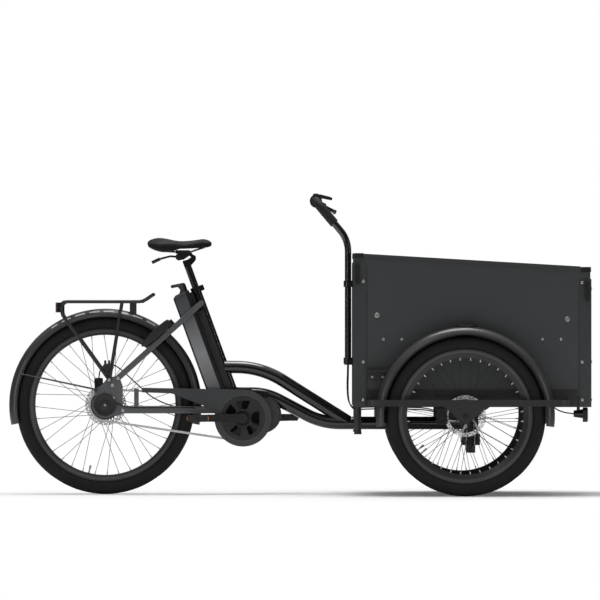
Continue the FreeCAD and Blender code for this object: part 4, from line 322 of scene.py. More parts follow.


# tyre: tread blocks on the crown with the grooves between them painted darker as shade, fine moulding rings
# on the wall
tyreLook = {"rough": 0.66, "spec": 0.16, "dust": 0.012, "grain": 420, "bump": 0.9, "depth": 0.0016,
            "crown": (0.0105, 0.0085), "wall": (0.012, 0.02), "slant": 260.0, "notch": (0.55, 0.8),
            "rows": 700.0, "rowEdge": (0.8, 0.95), "rings": 2600.0, "ringHigh": 0.06, "grainHigh": 0.12,
            "rubber": (0.0105, 0.0105, 0.011, 1), "groove": (0.004, 0.004, 0.004, 1)}


def makeTyre(name, wheel, blocks):
    look = tyreLook
    material, tree, shader = newMaterial(name)
    polar = addPolar(tree, wheel["centre"])
    crown = addRamp(tree, polar["Radius"], [wheel["tyre"] - inset for inset in look["crown"]])
    turns = addMath(tree, "MULTIPLY", polar["Angle"], blocks)
    slant = addMath(tree, "MULTIPLY", addMath(tree, "ABSOLUTE", polar["Across"]), look["slant"])
    notch = addRamp(tree, addMath(tree, "SINE", addMath(tree, "ADD", turns, slant)), look["notch"])
    across = addMath(tree, "SINE", addMath(tree, "MULTIPLY", polar["Across"], look["rows"]))
    rows = addRamp(tree, across, look["rowEdge"])
    groove = addMath(tree, "MULTIPLY", addMath(tree, "MAXIMUM", notch, rows), crown)
    wall = addMath(tree, "SINE", addMath(tree, "MULTIPLY", polar["Radius"], look["rings"]))
    wallMask = addRamp(tree, polar["Radius"], [wheel["tyre"] - inset for inset in look["wall"]])
    rings = addMath(tree, "MULTIPLY", addMath(tree, "MULTIPLY", wall, wallMask), look["ringHigh"])
    # grooves get a darker colour as painted shade, as well as the bump
    grain = addSurface(tree, shader, look, addMix(tree, groove, look["rubber"], look["groove"]))
    height = addMath(tree, "ADD", addMath(tree, "SUBTRACT", rings, groove),
                     addMath(tree, "MULTIPLY", grain, look["grainHigh"]))
    addBump(tree, shader, height, look)
    return material


# rim: black with a machined grey ring
rimLook = {"rough": 0.34, "spec": 0.4, "dust": 0.04, "grain": 1400, "bump": 0.6, "depth": 0.001,
           "edge": 0.0015, "ringHigh": 0.4, "grainHigh": 0.05, "black": (0.011, 0.011, 0.0115, 1),
           "ring": (0.042, 0.0435, 0.0455, 1)}


def makeRim(name, wheel, low, high):
    look = rimLook
    material, tree, shader = newMaterial(name)
    radius = addPolar(tree, wheel["centre"])["Radius"]
    ring = addMath(tree, "MULTIPLY", addRamp(tree, radius, (low, low + look["edge"])),
                   addRamp(tree, radius, (high, high - look["edge"])))
    grain = addSurface(tree, shader, look, addMix(tree, ring, look["black"], look["ring"]))
    height = addMath(tree, "ADD", addMath(tree, "MULTIPLY", ring, look["ringHigh"]),
                     addMath(tree, "MULTIPLY", grain, look["grainHigh"]))
    addBump(tree, shader, height, look)
    return material


# spokes: dark wire with bright nipples at the rim
spokeLook = {"rough": 0.4, "spec": 0.4, "drift": 0.3, "dust": 0.0, "grain": 1500, "bump": 0.15,
             "depth": 0.0004, "edge": 0.001, "wire": (0.008, 0.008, 0.0085, 1),
             "nipple": (0.6, 0.6, 0.6, 1)}


def makeSpoke(name, wheel, nippleFrom):
    look = spokeLook
    material, tree, shader = newMaterial(name)
    radius = addPolar(tree, wheel["centre"])["Radius"]
    nipple = addRamp(tree, radius, (nippleFrom, nippleFrom + look["edge"]))
    grain = addSurface(tree, shader, look, addMix(tree, nipple, look["wire"], look["nipple"]))
    addBump(tree, shader, grain, look)
    return material


# brake rotor: ground steel with rings turned round the axle
rotorLook = {"rough": 0.36, "metal": 0.35, "dust": 0.0, "grain": 1500, "bump": 0.3, "depth": 0.0004,
             "rings": 2600.0, "band": (0.0640, 0.0655), "spider": (0.55, 0.55, 0.56, 1),
             "track": (0.9, 0.9, 0.91, 1)}


def makeRotor(name, wheel):
    look = rotorLook
    material, tree, shader = newMaterial(name)
    radius = addPolar(tree, wheel["centre"])["Radius"]
    rings = addNode(tree, "TexNoise", {"W": radius, "Scale": look["rings"]},
                    noise_dimensions="1D").outputs["Fac"]
    band = addRamp(tree, radius, look["band"])
    addSurface(tree, shader, look, addMix(tree, band, look["spider"], look["track"]))
    addBump(tree, shader, rings, look)
    return material


# rear mudguard: satin black, with pale dashes on its flanks near the crown that are a painted highlight
# (painted reflection of the lights)
guardLook = {**finishes["frontGuard"], "dashRadius": 0.3655, "dashes": 40.0, "dashHalf": (0.0026, 0.0020),
             "dashEdge": (-0.6, -0.5), "dashSpan": (0.62, 0.6), "paintedHighlightColor": (0.5, 0.5, 0.51, 1)}


def makeRearGuard():
    look = guardLook
    material, tree, shader = newMaterial("rearGuard")
    polar = addPolar(tree, rearWheel["centre"])
    # painted highlight: pale dashes on a ring near the crown, over a span of angles, mixed into the guard
    # colour
    near = addMath(tree, "ABSOLUTE", addMath(tree, "SUBTRACT", polar["Radius"], look["dashRadius"]))
    wave = addMath(tree, "SINE", addMath(tree, "MULTIPLY", polar["Angle"], look["dashes"]))
    highlightDash = addMath(tree, "MULTIPLY", addRamp(tree, near, look["dashHalf"]),
                   addRamp(tree, wave, look["dashEdge"]))
    span = addRamp(tree, addMath(tree, "ABSOLUTE", polar["Angle"]), look["dashSpan"])
    highlightMask = addMath(tree, "MULTIPLY", highlightDash, span)
    grain = addSurface(tree, shader, look, addMix(tree, highlightMask, (*look["color"], 1), look["paintedHighlightColor"]))
    addBump(tree, shader, grain, look)
    return material


# chain cover: grey, its round face recessed by bump and painted black as shade of the recess, inside a
# turned edge painted bright as a highlight
coverLook = {"rough": 0.34, "spec": 0.4, "drift": 0.1, "dust": 0.0, "grain": 1400, "bump": 0.5,
             "depth": 0.0012, "face": (0.0885, 0.0875), "rise": (0.0875, 0.0895), "fall": (0.0906, 0.0895),
             "grainHigh": 0.04, "body": (0.046, 0.048, 0.05, 1), "sunk": (0.021, 0.0215, 0.022, 1),
             "bright": (0.066, 0.068, 0.07, 1)}


def makeChainCover():
    look = coverLook
    material, tree, shader = newMaterial("chainCover")
    radius = addPolar(tree, crankAxis)["Radius"]
    face = addRamp(tree, radius, look["face"])
    edge = addMath(tree, "MULTIPLY", addRamp(tree, radius, look["rise"]),
                   addRamp(tree, radius, look["fall"]))
    # painted shade on the recessed face and a painted highlight ring on its edge
    color = addMix(tree, edge, addMix(tree, face, look["body"], look["sunk"]), look["bright"])
    grain = addSurface(tree, shader, look, color)
    height = addMath(tree, "ADD", addMath(tree, "SUBTRACT", edge, face),
                     addMath(tree, "MULTIPLY", grain, look["grainHigh"]))
    addBump(tree, shader, height, look)
    return material


# saddle: fine-pored synthetic leather
skinLook = {"color": (0.0055, 0.0055, 0.006), "rough": 0.52, "spec": 0.15, "dust": 0.0, "grain": 900,
            "bump": 0.35, "pores": 900.0, "poreHigh": 0.7, "grainHigh": 0.3, "sheen": 0.03}


def makeSaddleSkin():
    look = skinLook
    material, tree, shader = newMaterial("saddleSkin")
    grain = addSurface(tree, shader, look)
    pores = addNode(tree, "TexVoronoi",
                    {"Vector": addWhere(tree), "Scale": look["pores"]}).outputs["Distance"]
    height = addMath(tree, "ADD", addMath(tree, "MULTIPLY", pores, look["poreHigh"]),
                     addMath(tree, "MULTIPLY", grain, look["grainHigh"]))
    addBump(tree, shader, height, look)
    shader.inputs["Sheen Weight"].default_value = look["sheen"]
    return material


# battery: satin grey shell with a painted highlight across its middle and painted shade darker towards its
# ends, darker again at its back edge, black strip along the tube
batteryLook = {"rough": 0.34, "metal": 0.45, "drift": 0.08, "dust": 0.0, "grain": 3000, "bump": 0.08,
               "depth": 0.0003, "along": (0.112, 0.530), "shadedLowEnd": (0.11, 0.112, 0.116, 1),
               "shadedHighEnd": (0.07, 0.072, 0.076, 1), "highlightAt": 0.42, "bright": (0.29, 0.296, 0.308, 1),
               "strip": (-0.0445, -0.0425), "backEdge": (-0.0895, -0.0915),
               "black": (0.012, 0.012, 0.0125, 1)}


def makeBatteryShell():
    look = batteryLook
    material, tree, shader = newMaterial("batteryShell")
    turned = addNode(tree, "Mapping",
                     {"Vector": addWhere(tree), "Location": crankAxis, "Rotation": (0, -seatLean, 0)},
                     vector_type="TEXTURE")
    axes = addAxes(tree, turned.outputs["Vector"])
    # painted shade darker towards both ends and a painted highlight band near the middle
    along = addNode(tree, "ValToRGB", {"Fac": addRamp(tree, axes["Z"], look["along"])})
    along.color_ramp.elements[0].color = look["shadedLowEnd"]
    along.color_ramp.elements[1].color = look["shadedHighEnd"]
    along.color_ramp.elements.new(look["highlightAt"]).color = look["bright"]
    dark = addMath(tree, "MAXIMUM", addRamp(tree, axes["X"], look["strip"]),
                   addRamp(tree, axes["X"], look["backEdge"]))
    grain = addSurface(tree, shader, look, addMix(tree, dark, along.outputs["Color"], look["black"]))
    addBump(tree, shader, grain, look)
    return material


# headlight: black case, clear fluted lens at the front
lampLook = {"rough": 0.3, "coat": 0.4, "drift": 0.1, "dust": 0.04, "grain": 1200, "bump": 0.4,
            "depth": 0.0008, "lens": (1.1231, 1.1236), "flutes": 90.0, "case": (0.006, 0.006, 0.0065, 1),
            "glassLow": (0.55, 0.58, 0.6, 1), "glassHigh": (0.85, 0.88, 0.9, 1)}


def makeLampShell():
    look = lampLook
    material, tree, shader = newMaterial("lampShell")
    where = addWhere(tree)
    lens = addRamp(tree, addAxes(tree, where)["X"], look["lens"])
    flutes = addNode(tree, "TexWave", {"Vector": where, "Scale": look["flutes"]},
                     bands_direction="Y").outputs["Fac"]
    glass = addMix(tree, flutes, look["glassLow"], look["glassHigh"])
    addSurface(tree, shader, look, addMix(tree, lens, look["case"], glass))
    addBump(tree, shader, addMath(tree, "MULTIPLY", flutes, lens), look)
    return material


# tail light: dark case with a red lens facing back
tailLook = {"rough": 0.22, "coat": 0.6, "drift": 0.1, "grain": 1200, "bump": 0.5, "depth": 0.001,
            "lens": (-0.9470, -0.9485), "cells": 260.0, "case": (0.006, 0.006, 0.0065, 1),
            "redLow": (0.5, 0.01, 0.012, 1), "redHigh": (0.18, 0.004, 0.005, 1)}


def makeTailLens():
    look = tailLook
    material, tree, shader = newMaterial("tailLens")
    where = addWhere(tree)
    lens = addRamp(tree, addAxes(tree, where)["X"], look["lens"])
    cells = addNode(tree, "TexVoronoi", {"Vector": where, "Scale": look["cells"]}).outputs["Distance"]
    red = addMix(tree, cells, look["redLow"], look["redHigh"])
    addSurface(tree, shader, look, addMix(tree, lens, look["case"], red))
    addBump(tree, shader, addMath(tree, "MULTIPLY", cells, lens), look)
    return material


# benches: film-faced birch board
boardLook = {"rough": 0.42, "coat": 0.2, "drift": 0.3, "dust": 0.0, "grain": 600, "bump": 0.15,
             "depth": 0.0008, "stretch": (14.0, 1.2, 60.0), "fibre": 5.0, "fibreDetail": 6.0,
             "fibreWave": 1.2, "grainHigh": 0.2, "pale": (0.42, 0.28, 0.16, 1),
             "dark": (0.22, 0.13, 0.07, 1)}


def makePlywood():
    look = boardLook
    material, tree, shader = newMaterial("benchBoard")
    stretch = addNode(tree, "Mapping",
                      {"Vector": addWhere(tree), "Scale": look["stretch"]}).outputs["Vector"]
    fibre = addNode(tree, "TexNoise",
                    {"Vector": stretch, "Scale": look["fibre"], "Detail": look["fibreDetail"],
                                       "Distortion": look["fibreWave"]}).outputs["Fac"]
    grain = addSurface(tree, shader, look, addMix(tree, fibre, look["pale"], look["dark"]))
    height = addMath(tree, "ADD", fibre, addMath(tree, "MULTIPLY", grain, look["grainHigh"]))
    addBump(tree, shader, height, look)
    return material


# studded anti-slip floor of the box
matLook = {"color": (0.01, 0.01, 0.0105), "rough": 0.55, "spec": 0.3, "dust": 0.1, "grain": 700,
           "bump": 0.6, "depth": 0.0015, "studs": 60.0, "studEdge": (0.42, 0.3)}


def makeFloorMat():
    look = matLook
    material, tree, shader = newMaterial("boxFloorMat")
    studs = addNode(tree, "TexVoronoi",
                    {"Vector": addWhere(tree), "Scale": look["studs"], "Randomness": 0.0})
    addSurface(tree, shader, look)
    addBump(tree, shader, addRamp(tree, studs.outputs["Distance"], look["studEdge"]), look)
    return material


# per wheel: name, wheel, tread blocks, ring on the rim, start of the nipples
wheelLooks = (
    ("rear", rearWheel, 96.0, (0.2815, 0.2945), 0.2625),
    ("left", leftWheel, 86.0, (0.2435, 0.2575), 0.2145),
    ("right", rightWheel, 86.0, (0.2435, 0.2575), 0.2145),
)

made = {name: makeFinish(name) for name in finishes}
for name, wheel, blocks, ring, nippleFrom in wheelLooks:
    made[name + "Tyre"] = makeTyre(name + "Tyre", wheel, blocks)
    made[name + "Rim"] = makeRim(name + "Rim", wheel, *ring)
    made[name + "Spoke"] = makeSpoke(name + "Spoke", wheel, nippleFrom)
    made[name + "Rotor"] = makeRotor(name + "Rotor", wheel)
for make in (makeRearGuard, makeChainCover, makeSaddleSkin, makeBatteryShell, makeLampShell, makeTailLens,
             makePlywood, makeFloorMat):
    material = make()
    made[material.name] = material
print("materials built:", len(made))

# which finish each CAD piece wears
wears = {
    "frameGloss": ("main_frame", "seat_post", "handlebar"),
    "stayGrey": ("rear_stays", "dropouts"),
    "motorGrey": ("motor_housing",),
    "chainCover": ("chain_guard",),
    "mouldedBlack": ("battery_dock", "ring_lock_case", "pedal_right", "pedal_left", "saddle_lever",
                     "bar_controls"),
    "rearGuard": ("rear_mudguard",),
    "powderBlack": ("rear_rack", "base_frame", "wheel_outriggers"),
    "tailLens": ("tail_light",),
    "forgedBlack": ("rear_caliper", "crank_arms", "saddle_frame", "front_axles", "front_calipers",
                    "brake_lever_right", "brake_lever_left"),
    "hoseRubber": ("rear_hoses", "front_hoses"),
    "chainSteel": ("chain",),
    "boltZinc": ("frame_bolts", "rear_axle", "ring_lock_bolt", "box_bolts"),
    "hubBlack": ("rear_hub", "front_left_hub", "front_right_hub"),
    "darkSteel": ("rear_sprocket", "chainring"),
    "saddleSkin": ("saddle_cover",),
    "batteryShell": ("battery_pack",),
    "boxFloorMat": ("box_floor",),
    "panelGrey": ("box_panels",),
    "postGrey": ("corner_posts",),
    "railGrey": ("top_rails",),
    "bumperRubber": ("corner_caps",),
    "frontGuard": ("front_mudguards",),
    "gripRubber": ("grips",),
    "lampShell": ("headlight",),
    "benchBoard": ("benches",),
    "rearTyre": ("rear_tyre",), "rearRim": ("rear_rim",),
    "rearSpoke": ("rear_spokes",), "rearRotor": ("rear_rotor",),
    "leftTyre": ("front_left_tyre",), "leftRim": ("front_left_rim",),
    "leftSpoke": ("front_left_spokes",), "leftRotor": ("front_left_rotor",),
    "rightTyre": ("front_right_tyre",), "rightRim": ("front_right_rim",),
    "rightSpoke": ("front_right_spokes",), "rightRotor": ("front_right_rotor",),
}


def dressCad():
    count = 0
    for finish, names in wears.items():
        for name in names:
            for slot in nodes[name].material_slots:
                slot.material = made[finish]
        count += len(names)
    print("CAD pieces dressed:", count)


dressCad()

# shared by the modelled pieces: angles that count as an edge, and gap that counts as none
edgeAngle = math.radians(30.0)
smoothAngle = math.radians(40.0)
weld = 0.00001


def startPiece(name):
    piece = bpy.context.object
    piece.name = name
    piece.data.name = name
    return piece


def openEdit(piece):
    bpy.ops.object.select_all(action="DESELECT")
    piece.select_set(True)
    bpy.context.view_layer.objects.active = piece
    bpy.ops.object.mode_set(mode="EDIT")
    bpy.ops.mesh.select_mode(type="FACE")


def pickAll():
    bpy.ops.mesh.select_all(action="SELECT")


def pickFaces(piece, test):
    bpy.ops.mesh.select_all(action="DESELECT")
    mesh = bmesh.from_edit_mesh(piece.data)
    for face in mesh.faces:
        face.select_set(test(face))
    bmesh.update_edit_mesh(piece.data)


def closeEdit():
    pickAll()
    bpy.ops.mesh.remove_doubles(threshold=weld)
    bpy.ops.mesh.normals_make_consistent(inside=False)
    bpy.ops.object.mode_set(mode="OBJECT")


def startBlock(name, size):
    # a cube drawn out to its size, still open for editing
    bpy.ops.object.select_all(action="DESELECT")
    bpy.ops.mesh.primitive_cube_add(size=1, location=(0, 0, 0))
    piece = startPiece(name)
    openEdit(piece)
    pickAll()
    bpy.ops.transform.resize(value=size)
    return piece


def startDisc(name, sides, radius, depth):
    # a short cylinder, still open for editing
    bpy.ops.object.select_all(action="DESELECT")
    bpy.ops.mesh.primitive_cylinder_add(vertices=sides, radius=radius, depth=depth, location=(0, 0, 0))
    piece = startPiece(name)
    openEdit(piece)
    return piece


def push(offset):
    bpy.ops.mesh.extrude_region_move(TRANSFORM_OT_translate={"value": offset})


def softenEdges(piece, width, segments=2):
    bevel = piece.modifiers.new("softEdges", "BEVEL")
    bevel.width = width
    bevel.segments = segments
    bevel.limit_method = "ANGLE"
    bevel.angle_limit = edgeAngle
    bpy.ops.object.modifier_apply(modifier=bevel.name)


def makeRounder(piece, levels):
    finer = piece.modifiers.new("rounder", "SUBSURF")
    finer.levels = levels
    finer.render_levels = levels
    bpy.ops.object.modifier_apply(modifier=finer.name)


def finishPiece(piece, finish, body, place=None):
    if place is not None:
        piece.data.transform(place)
    piece.data.materials.clear()
    piece.data.materials.append(made[finish])
    bpy.ops.object.select_all(action="DESELECT")
    piece.select_set(True)
    bpy.context.view_layer.objects.active = piece
    bpy.ops.object.shade_smooth_by_angle(angle=smoothAngle)
    piece.select_set(False)
    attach(piece, body)


def copyPiece(piece, name, body, place):
    twin = bpy.data.objects.new(name, piece.data.copy())
    twin.data.name = name
    bpy.context.scene.collection.objects.link(twin)
    twin.data.transform(place)
    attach(twin, body)
    return twin


# saddle: padded skin over its shell; places along it are a centre and a spread
saddle = {"shrink": (0.995, 0.97, 0.9), "voxel": 0.005, "pressure": 4.0, "frames": 20, "cap": 0.005,
          "rim": 0.012, "rimShare": 0.25, "smooth": 8, "smoothBy": 0.5, "dip": 0.006,
          "dipAt": (-0.465, 0.045), "groove": 0.0035, "grooveHalf": 0.008, "grooveAt": (-0.480, 0.075),
          "skirt": 0.014, "skirtAt": (-0.525, 0.065), "skirtFrom": 0.040, "skirtFade": 0.015,
          "seam": 0.0008, "seamAt": (0.42, 0.03)}


def bell(value, centre, spread):
    return math.exp(-((value - centre) / spread) ** 2)


def makeSaddle():
    low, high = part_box("saddle_cover")
    middle = (low + high) / 2
    pad = bpy.data.objects.new("saddlePad", nodes["saddle_cover"].data.copy())
    bpy.context.scene.collection.objects.link(pad)
    openEdit(pad)
    closeEdit()
    for vert in pad.data.vertices:
        vert.co = middle + (vert.co - middle) * Vector(saddle["shrink"])
    remesh = pad.modifiers.new("evenSkin", "REMESH")
    remesh.mode = "VOXEL"
    remesh.voxel_size = saddle["voxel"]
    bpy.ops.object.modifier_apply(modifier=remesh.name)
    rest = [vert.co.copy() for vert in pad.data.vertices]
    cloth = pad.modifiers.new("stuffing", "CLOTH")
    cloth.settings.use_pressure = True
    cloth.settings.uniform_pressure_force = saddle["pressure"]
    cloth.settings.effector_weights.gravity = 0
    cloth.point_cache.frame_start = 1
    cloth.point_cache.frame_end = saddle["frames"]
    for step in range(1, saddle["frames"] + 1):
        bpy.context.scene.frame_set(step)
    bpy.ops.object.modifier_apply(modifier=cloth.name)
    for vert, start in zip(pad.data.vertices, rest):
        move = vert.co - start
        if move.length > saddle["cap"]:
            vert.co = start + move * (saddle["cap"] / move.length)
        if start.z < low.z + saddle["rim"]:
            vert.co = start.lerp(vert.co, saddle["rimShare"])
    openEdit(pad)
    pickAll()
    bpy.ops.mesh.vertices_smooth(factor=saddle["smoothBy"], repeat=saddle["smooth"])
    closeEdit()
    makeRounder(pad, 1)
    for vert in pad.data.vertices:
        x, y, z = vert.co
        up = max(0.0, vert.normal.z)
        share = (z - low.z) / (high.z - low.z)
        drop = saddle["dip"] * bell(x, *saddle["dipAt"]) * max(0.0, share)
        drop += saddle["groove"] * bell(y, 0.0, saddle["grooveHalf"]) * bell(x, *saddle["grooveAt"]) * up
        outside = min(1.0, max(0.0, (abs(y) - saddle["skirtFrom"]) / saddle["skirtFade"]))
        drop += saddle["skirt"] * bell(x, *saddle["skirtAt"]) * max(0.0, 1.0 - 2.0 * share) * outside
        vert.co.z -= drop
        line = bell(share, *saddle["seamAt"]) * (1.0 - up)
        vert.co -= vert.normal * (saddle["seam"] * line)
    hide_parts("saddle_cover")
    finishPiece(pad, "saddleSkin", "saddle")
    print("saddle padded:", len(pad.data.vertices), "points")


makeSaddle()

# rolled lips along the edges of the mudguards
rearLip = {"radius": 0.343, "reach": math.radians(102), "across": 0.033, "body": "frame_body",
           "finish": "rearGuard"}
frontLip = {"radius": 0.314, "reach": math.radians(97), "across": 0.0335, "body": "carrier",
            "finish": "frontGuard"}
lipWire = {"radius": 0.0021, "sides": 10, "steps": 72}


def makeLip(name, centre, lip, side):
    bpy.ops.object.select_all(action="DESELECT")
    bpy.ops.mesh.primitive_circle_add(vertices=lipWire["sides"], radius=lipWire["radius"],
                                      location=(0, 0, 0))
    piece = startPiece(name)
    # spin turns back from here over the crown
    start = lip["reach"]
    first = Vector((lip["radius"] * math.sin(start), lip["across"] * side, lip["radius"] * math.cos(start)))
    piece.data.transform(Matrix.Translation(centre + first) @ Matrix.Rotation(start, 4, "Y"))
    openEdit(piece)
    pickAll()
    bpy.ops.mesh.spin(steps=lipWire["steps"], angle=2 * lip["reach"], center=centre, axis=(0, 1, 0))
    pickAll()
    bpy.ops.mesh.remove_doubles(threshold=weld)
    bpy.ops.mesh.fill_holes(sides=lipWire["sides"] + 2)
    closeEdit()
    finishPiece(piece, lip["finish"], lip["body"])


def makeLips():
    for tag, side in (("Near", -1), ("Far", 1)):
        makeLip("rearLip" + tag, rearWheel["centre"], rearLip, side)
        makeLip("rightLip" + tag, rightWheel["centre"], frontLip, side)
        makeLip("leftLip" + tag, leftWheel["centre"], frontLip, side)
    print("mudguard lips spun")


makeLips()

# tyre valves
valve = {"sides": 16, "stem": 0.0030, "length": 0.016, "nut": 0.0062, "nutHigh": 0.003, "cap": 0.0041,
         "capHigh": 0.012, "neck": 0.0006, "tip": 0.0012, "tipHigh": 0.0015, "bevel": 0.0003,
         "rearTurn": math.radians(193.75), "frontTurn": math.radians(230)}


def makeValves():
    first = startDisc("rearValve", valve["sides"], valve["nut"], valve["nutHigh"])
    pickFaces(first, lambda face: face.normal.z < -0.9)
    bpy.ops.mesh.inset(thickness=valve["nut"] - valve["stem"])
    push((0, 0, -valve["length"]))
    bpy.ops.mesh.inset(thickness=valve["neck"], use_outset=False)
    bpy.ops.transform.resize(value=(valve["cap"] / (valve["stem"] - valve["neck"]),) * 2 + (1,))
    push((0, 0, -valve["capHigh"]))
    bpy.ops.mesh.inset(thickness=valve["tip"])
    push((0, 0, -valve["tipHigh"]))
    closeEdit()
    softenEdges(first, valve["bevel"], 1)

    def seat(wheel, turn):
        out = Vector((math.sin(turn), 0, math.cos(turn)))
        return Matrix.Translation(wheel["centre"] + out * wheel["rimInner"]) @ Matrix.Rotation(turn, 4, "Y")

    finishPiece(first, "valveBrass", "rear_wheel")
    copyPiece(first, "rightValve", "front_right_wheel", seat(rightWheel, valve["frontTurn"]))
    copyPiece(first, "leftValve", "front_left_wheel", seat(leftWheel, valve["frontTurn"]))
    first.data.transform(seat(rearWheel, valve["rearTurn"]))
    print("valves fitted")


makeValves()

# shoulder knobs of the tread, one ring mesh for each tyre
tread = {"size": (0.0075, 0.0050, 0.0028), "top": (0.8, 0.75, 1), "chamfer": 0.0007, "section": 0.0273,
         "shoulder": math.radians(47), "lift": -0.0002, "slant": math.radians(24), "knobs": 84}


def makeTread(name, wheel, body):
    crown = Matrix.Translation(wheel["centre"] + Vector((0, 0, wheel["tyre"] - tread["section"])))
    knob = startBlock(name, tread["size"])
    pickFaces(knob, lambda face: face.normal.z > 0.9)
    bpy.ops.transform.resize(value=tread["top"], center_override=(0, 0, tread["size"][2] / 2))
    bpy.ops.mesh.bevel(offset=tread["chamfer"], segments=1)
    bpy.ops.object.mode_set(mode="OBJECT")
    far = knob.data.copy()
    near = (Matrix.Rotation(tread["shoulder"], 4, "X")
            @ Matrix.Translation((0, 0, tread["section"] + tread["lift"]))
            @ Matrix.Rotation(tread["slant"], 4, "Z"))
    knob.data.transform(crown @ near)
    far.transform(crown @ Matrix.Rotation(math.pi, 4, "Z") @ near)
    other = bpy.data.objects.new(name + "Far", far)
    bpy.context.scene.collection.objects.link(other)
    far.transform(Matrix.Translation(wheel["centre"]) @ Matrix.Rotation(math.pi / tread["knobs"], 4, "Y")
                  @ Matrix.Translation(-wheel["centre"]))
    other.select_set(True)
    knob.select_set(True)
    bpy.context.view_layer.objects.active = knob
    bpy.ops.object.join()
    openEdit(knob)
    pickAll()
    bpy.ops.mesh.spin(steps=tread["knobs"], angle=2 * math.pi, dupli=True, center=wheel["centre"],
                      axis=(0, 1, 0))
    closeEdit()
    finishPiece(knob, "treadRubber", body)


makeTread("rearTread", rearWheel, "rear_wheel")
makeTread("rightTread", rightWheel, "front_right_wheel")
makeTread("leftTread", leftWheel, "front_left_wheel")
print("tread knobs set")

# amber reflectors on both ends of each pedal
reflector = {"size": (0.0030, 0.056, 0.013), "bevel": 0.0008, "frame": 0.0014, "sink": 0.0006, "cuts": 3,
             "out": 0.0008}


def makeReflectors():
    first = startBlock("rightPedalReflectorFront", reflector["size"])
    pickFaces(first, lambda face: face.normal.x > 0.9)
    bpy.ops.mesh.inset(thickness=reflector["frame"])
    push((-reflector["sink"], 0, 0))
    bpy.ops.mesh.subdivide(number_cuts=reflector["cuts"])
    closeEdit()
    softenEdges(first, reflector["bevel"])
    finishPiece(first, "amberLens", "right_pedal")
    turned = Matrix.Rotation(math.pi, 4, "Z")
    fronts = {}
    for side in ("right", "left"):
        low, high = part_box("pedal_" + side)
        centre = (low + high) / 2
        back = Matrix.Translation((low.x - reflector["out"], centre.y, centre.z)) @ turned
        copyPiece(first, side + "PedalReflectorRear", side + "_pedal", back)
        fronts[side] = Matrix.Translation((high.x + reflector["out"], centre.y, centre.z))
    copyPiece(first, "leftPedalReflectorFront", "left_pedal", fronts["left"])
    first.data.transform(fronts["right"])
    print("pedal reflectors fitted")


makeReflectors()

# dished black plate behind the chainring, a dark sheet that stands in for the shade seen through the chain
# guard's openings
guardBack = {"sides": 72, "radius": 0.1, "hole": 0.031, "thick": 0.0024, "across": -0.0428,
             "rings": (0.09, 0.062), "bevel": 0.0006}


def makeGuardBack():
    plate = startDisc("shadeBackPlate", guardBack["sides"], guardBack["radius"], guardBack["thick"])
    pickFaces(plate, lambda face: abs(face.normal.z) > 0.9)
    outer = guardBack["radius"]
    for inner in (*guardBack["rings"], guardBack["hole"]):
        bpy.ops.mesh.inset(thickness=outer - inner)
        outer = inner
    bpy.ops.mesh.bridge_edge_loops()
    closeEdit()
    softenEdges(plate, guardBack["bevel"])
    place = Matrix.Translation(crankAxis + Vector((0, guardBack["across"], 0)))
    finishPiece(plate, "shadeBlack", "frame_body",
                place @ Matrix.Rotation(math.pi / 2, 4, "X"))
    print("chain guard back plate fitted")


makeGuardBack()

# channel that closes the gap between seat tube and battery above the dock
dockTop = {"low": 0.425, "high": 0.530, "front": 0.016, "back": 0.0285, "half": 0.013, "groove": 0.004,
           "bevel": 0.001}


def makeDockTop():
    size = (dockTop["back"] - dockTop["front"], 2 * dockTop["half"], dockTop["high"] - dockTop["low"])
    channel = startBlock("dockTopChannel", size)
    pickFaces(channel, lambda face: face.normal.x < -0.9)
    bpy.ops.mesh.inset(thickness=dockTop["groove"])
    push((dockTop["groove"], 0, 0))
    closeEdit()
    softenEdges(channel, dockTop["bevel"])
    middle = Vector((-(dockTop["back"] + dockTop["front"]) / 2, 0, (dockTop["low"] + dockTop["high"]) / 2))
    finishPiece(channel, "mouldedBlack", "frame_body",
                Matrix.Translation(crankAxis) @ Matrix.Rotation(-seatLean, 4, "Y")
                @ Matrix.Translation(middle))
    print("dock channel fitted")


makeDockTop()

# glass over the display on the bar
screen = {"size": (0.044, 0.060, 0.0016), "at": (0.1010, 0, 1.1626), "tilt": math.radians(14.0),
          "frame": 0.003, "rise": 0.0003, "bevel": 0.0005}


def makeScreen():
    glass = startBlock("displayGlass", screen["size"])
    pickFaces(glass, lambda face: face.normal.z > 0.9)
    bpy.ops.mesh.inset(thickness=screen["frame"])
    push((0, 0, screen["rise"]))
    closeEdit()
    softenEdges(glass, screen["bevel"])
    finishPiece(glass, "screenGlass", "carrier",
                Matrix.Translation(screen["at"]) @ Matrix.Rotation(screen["tilt"], 4, "Y"))
    print("display glass fitted")


makeScreen()

# brackets that tie the front mudguard crowns to the box
crownTie = {"width": 0.078, "plate": 0.005, "wall": 0.3100, "low": 0.6545, "split": 0.6595, "high": 0.6705,
            "reach": 0.390, "ahead": 0.006, "tongue": (0.6, 1, 1), "bevel": 0.0008}


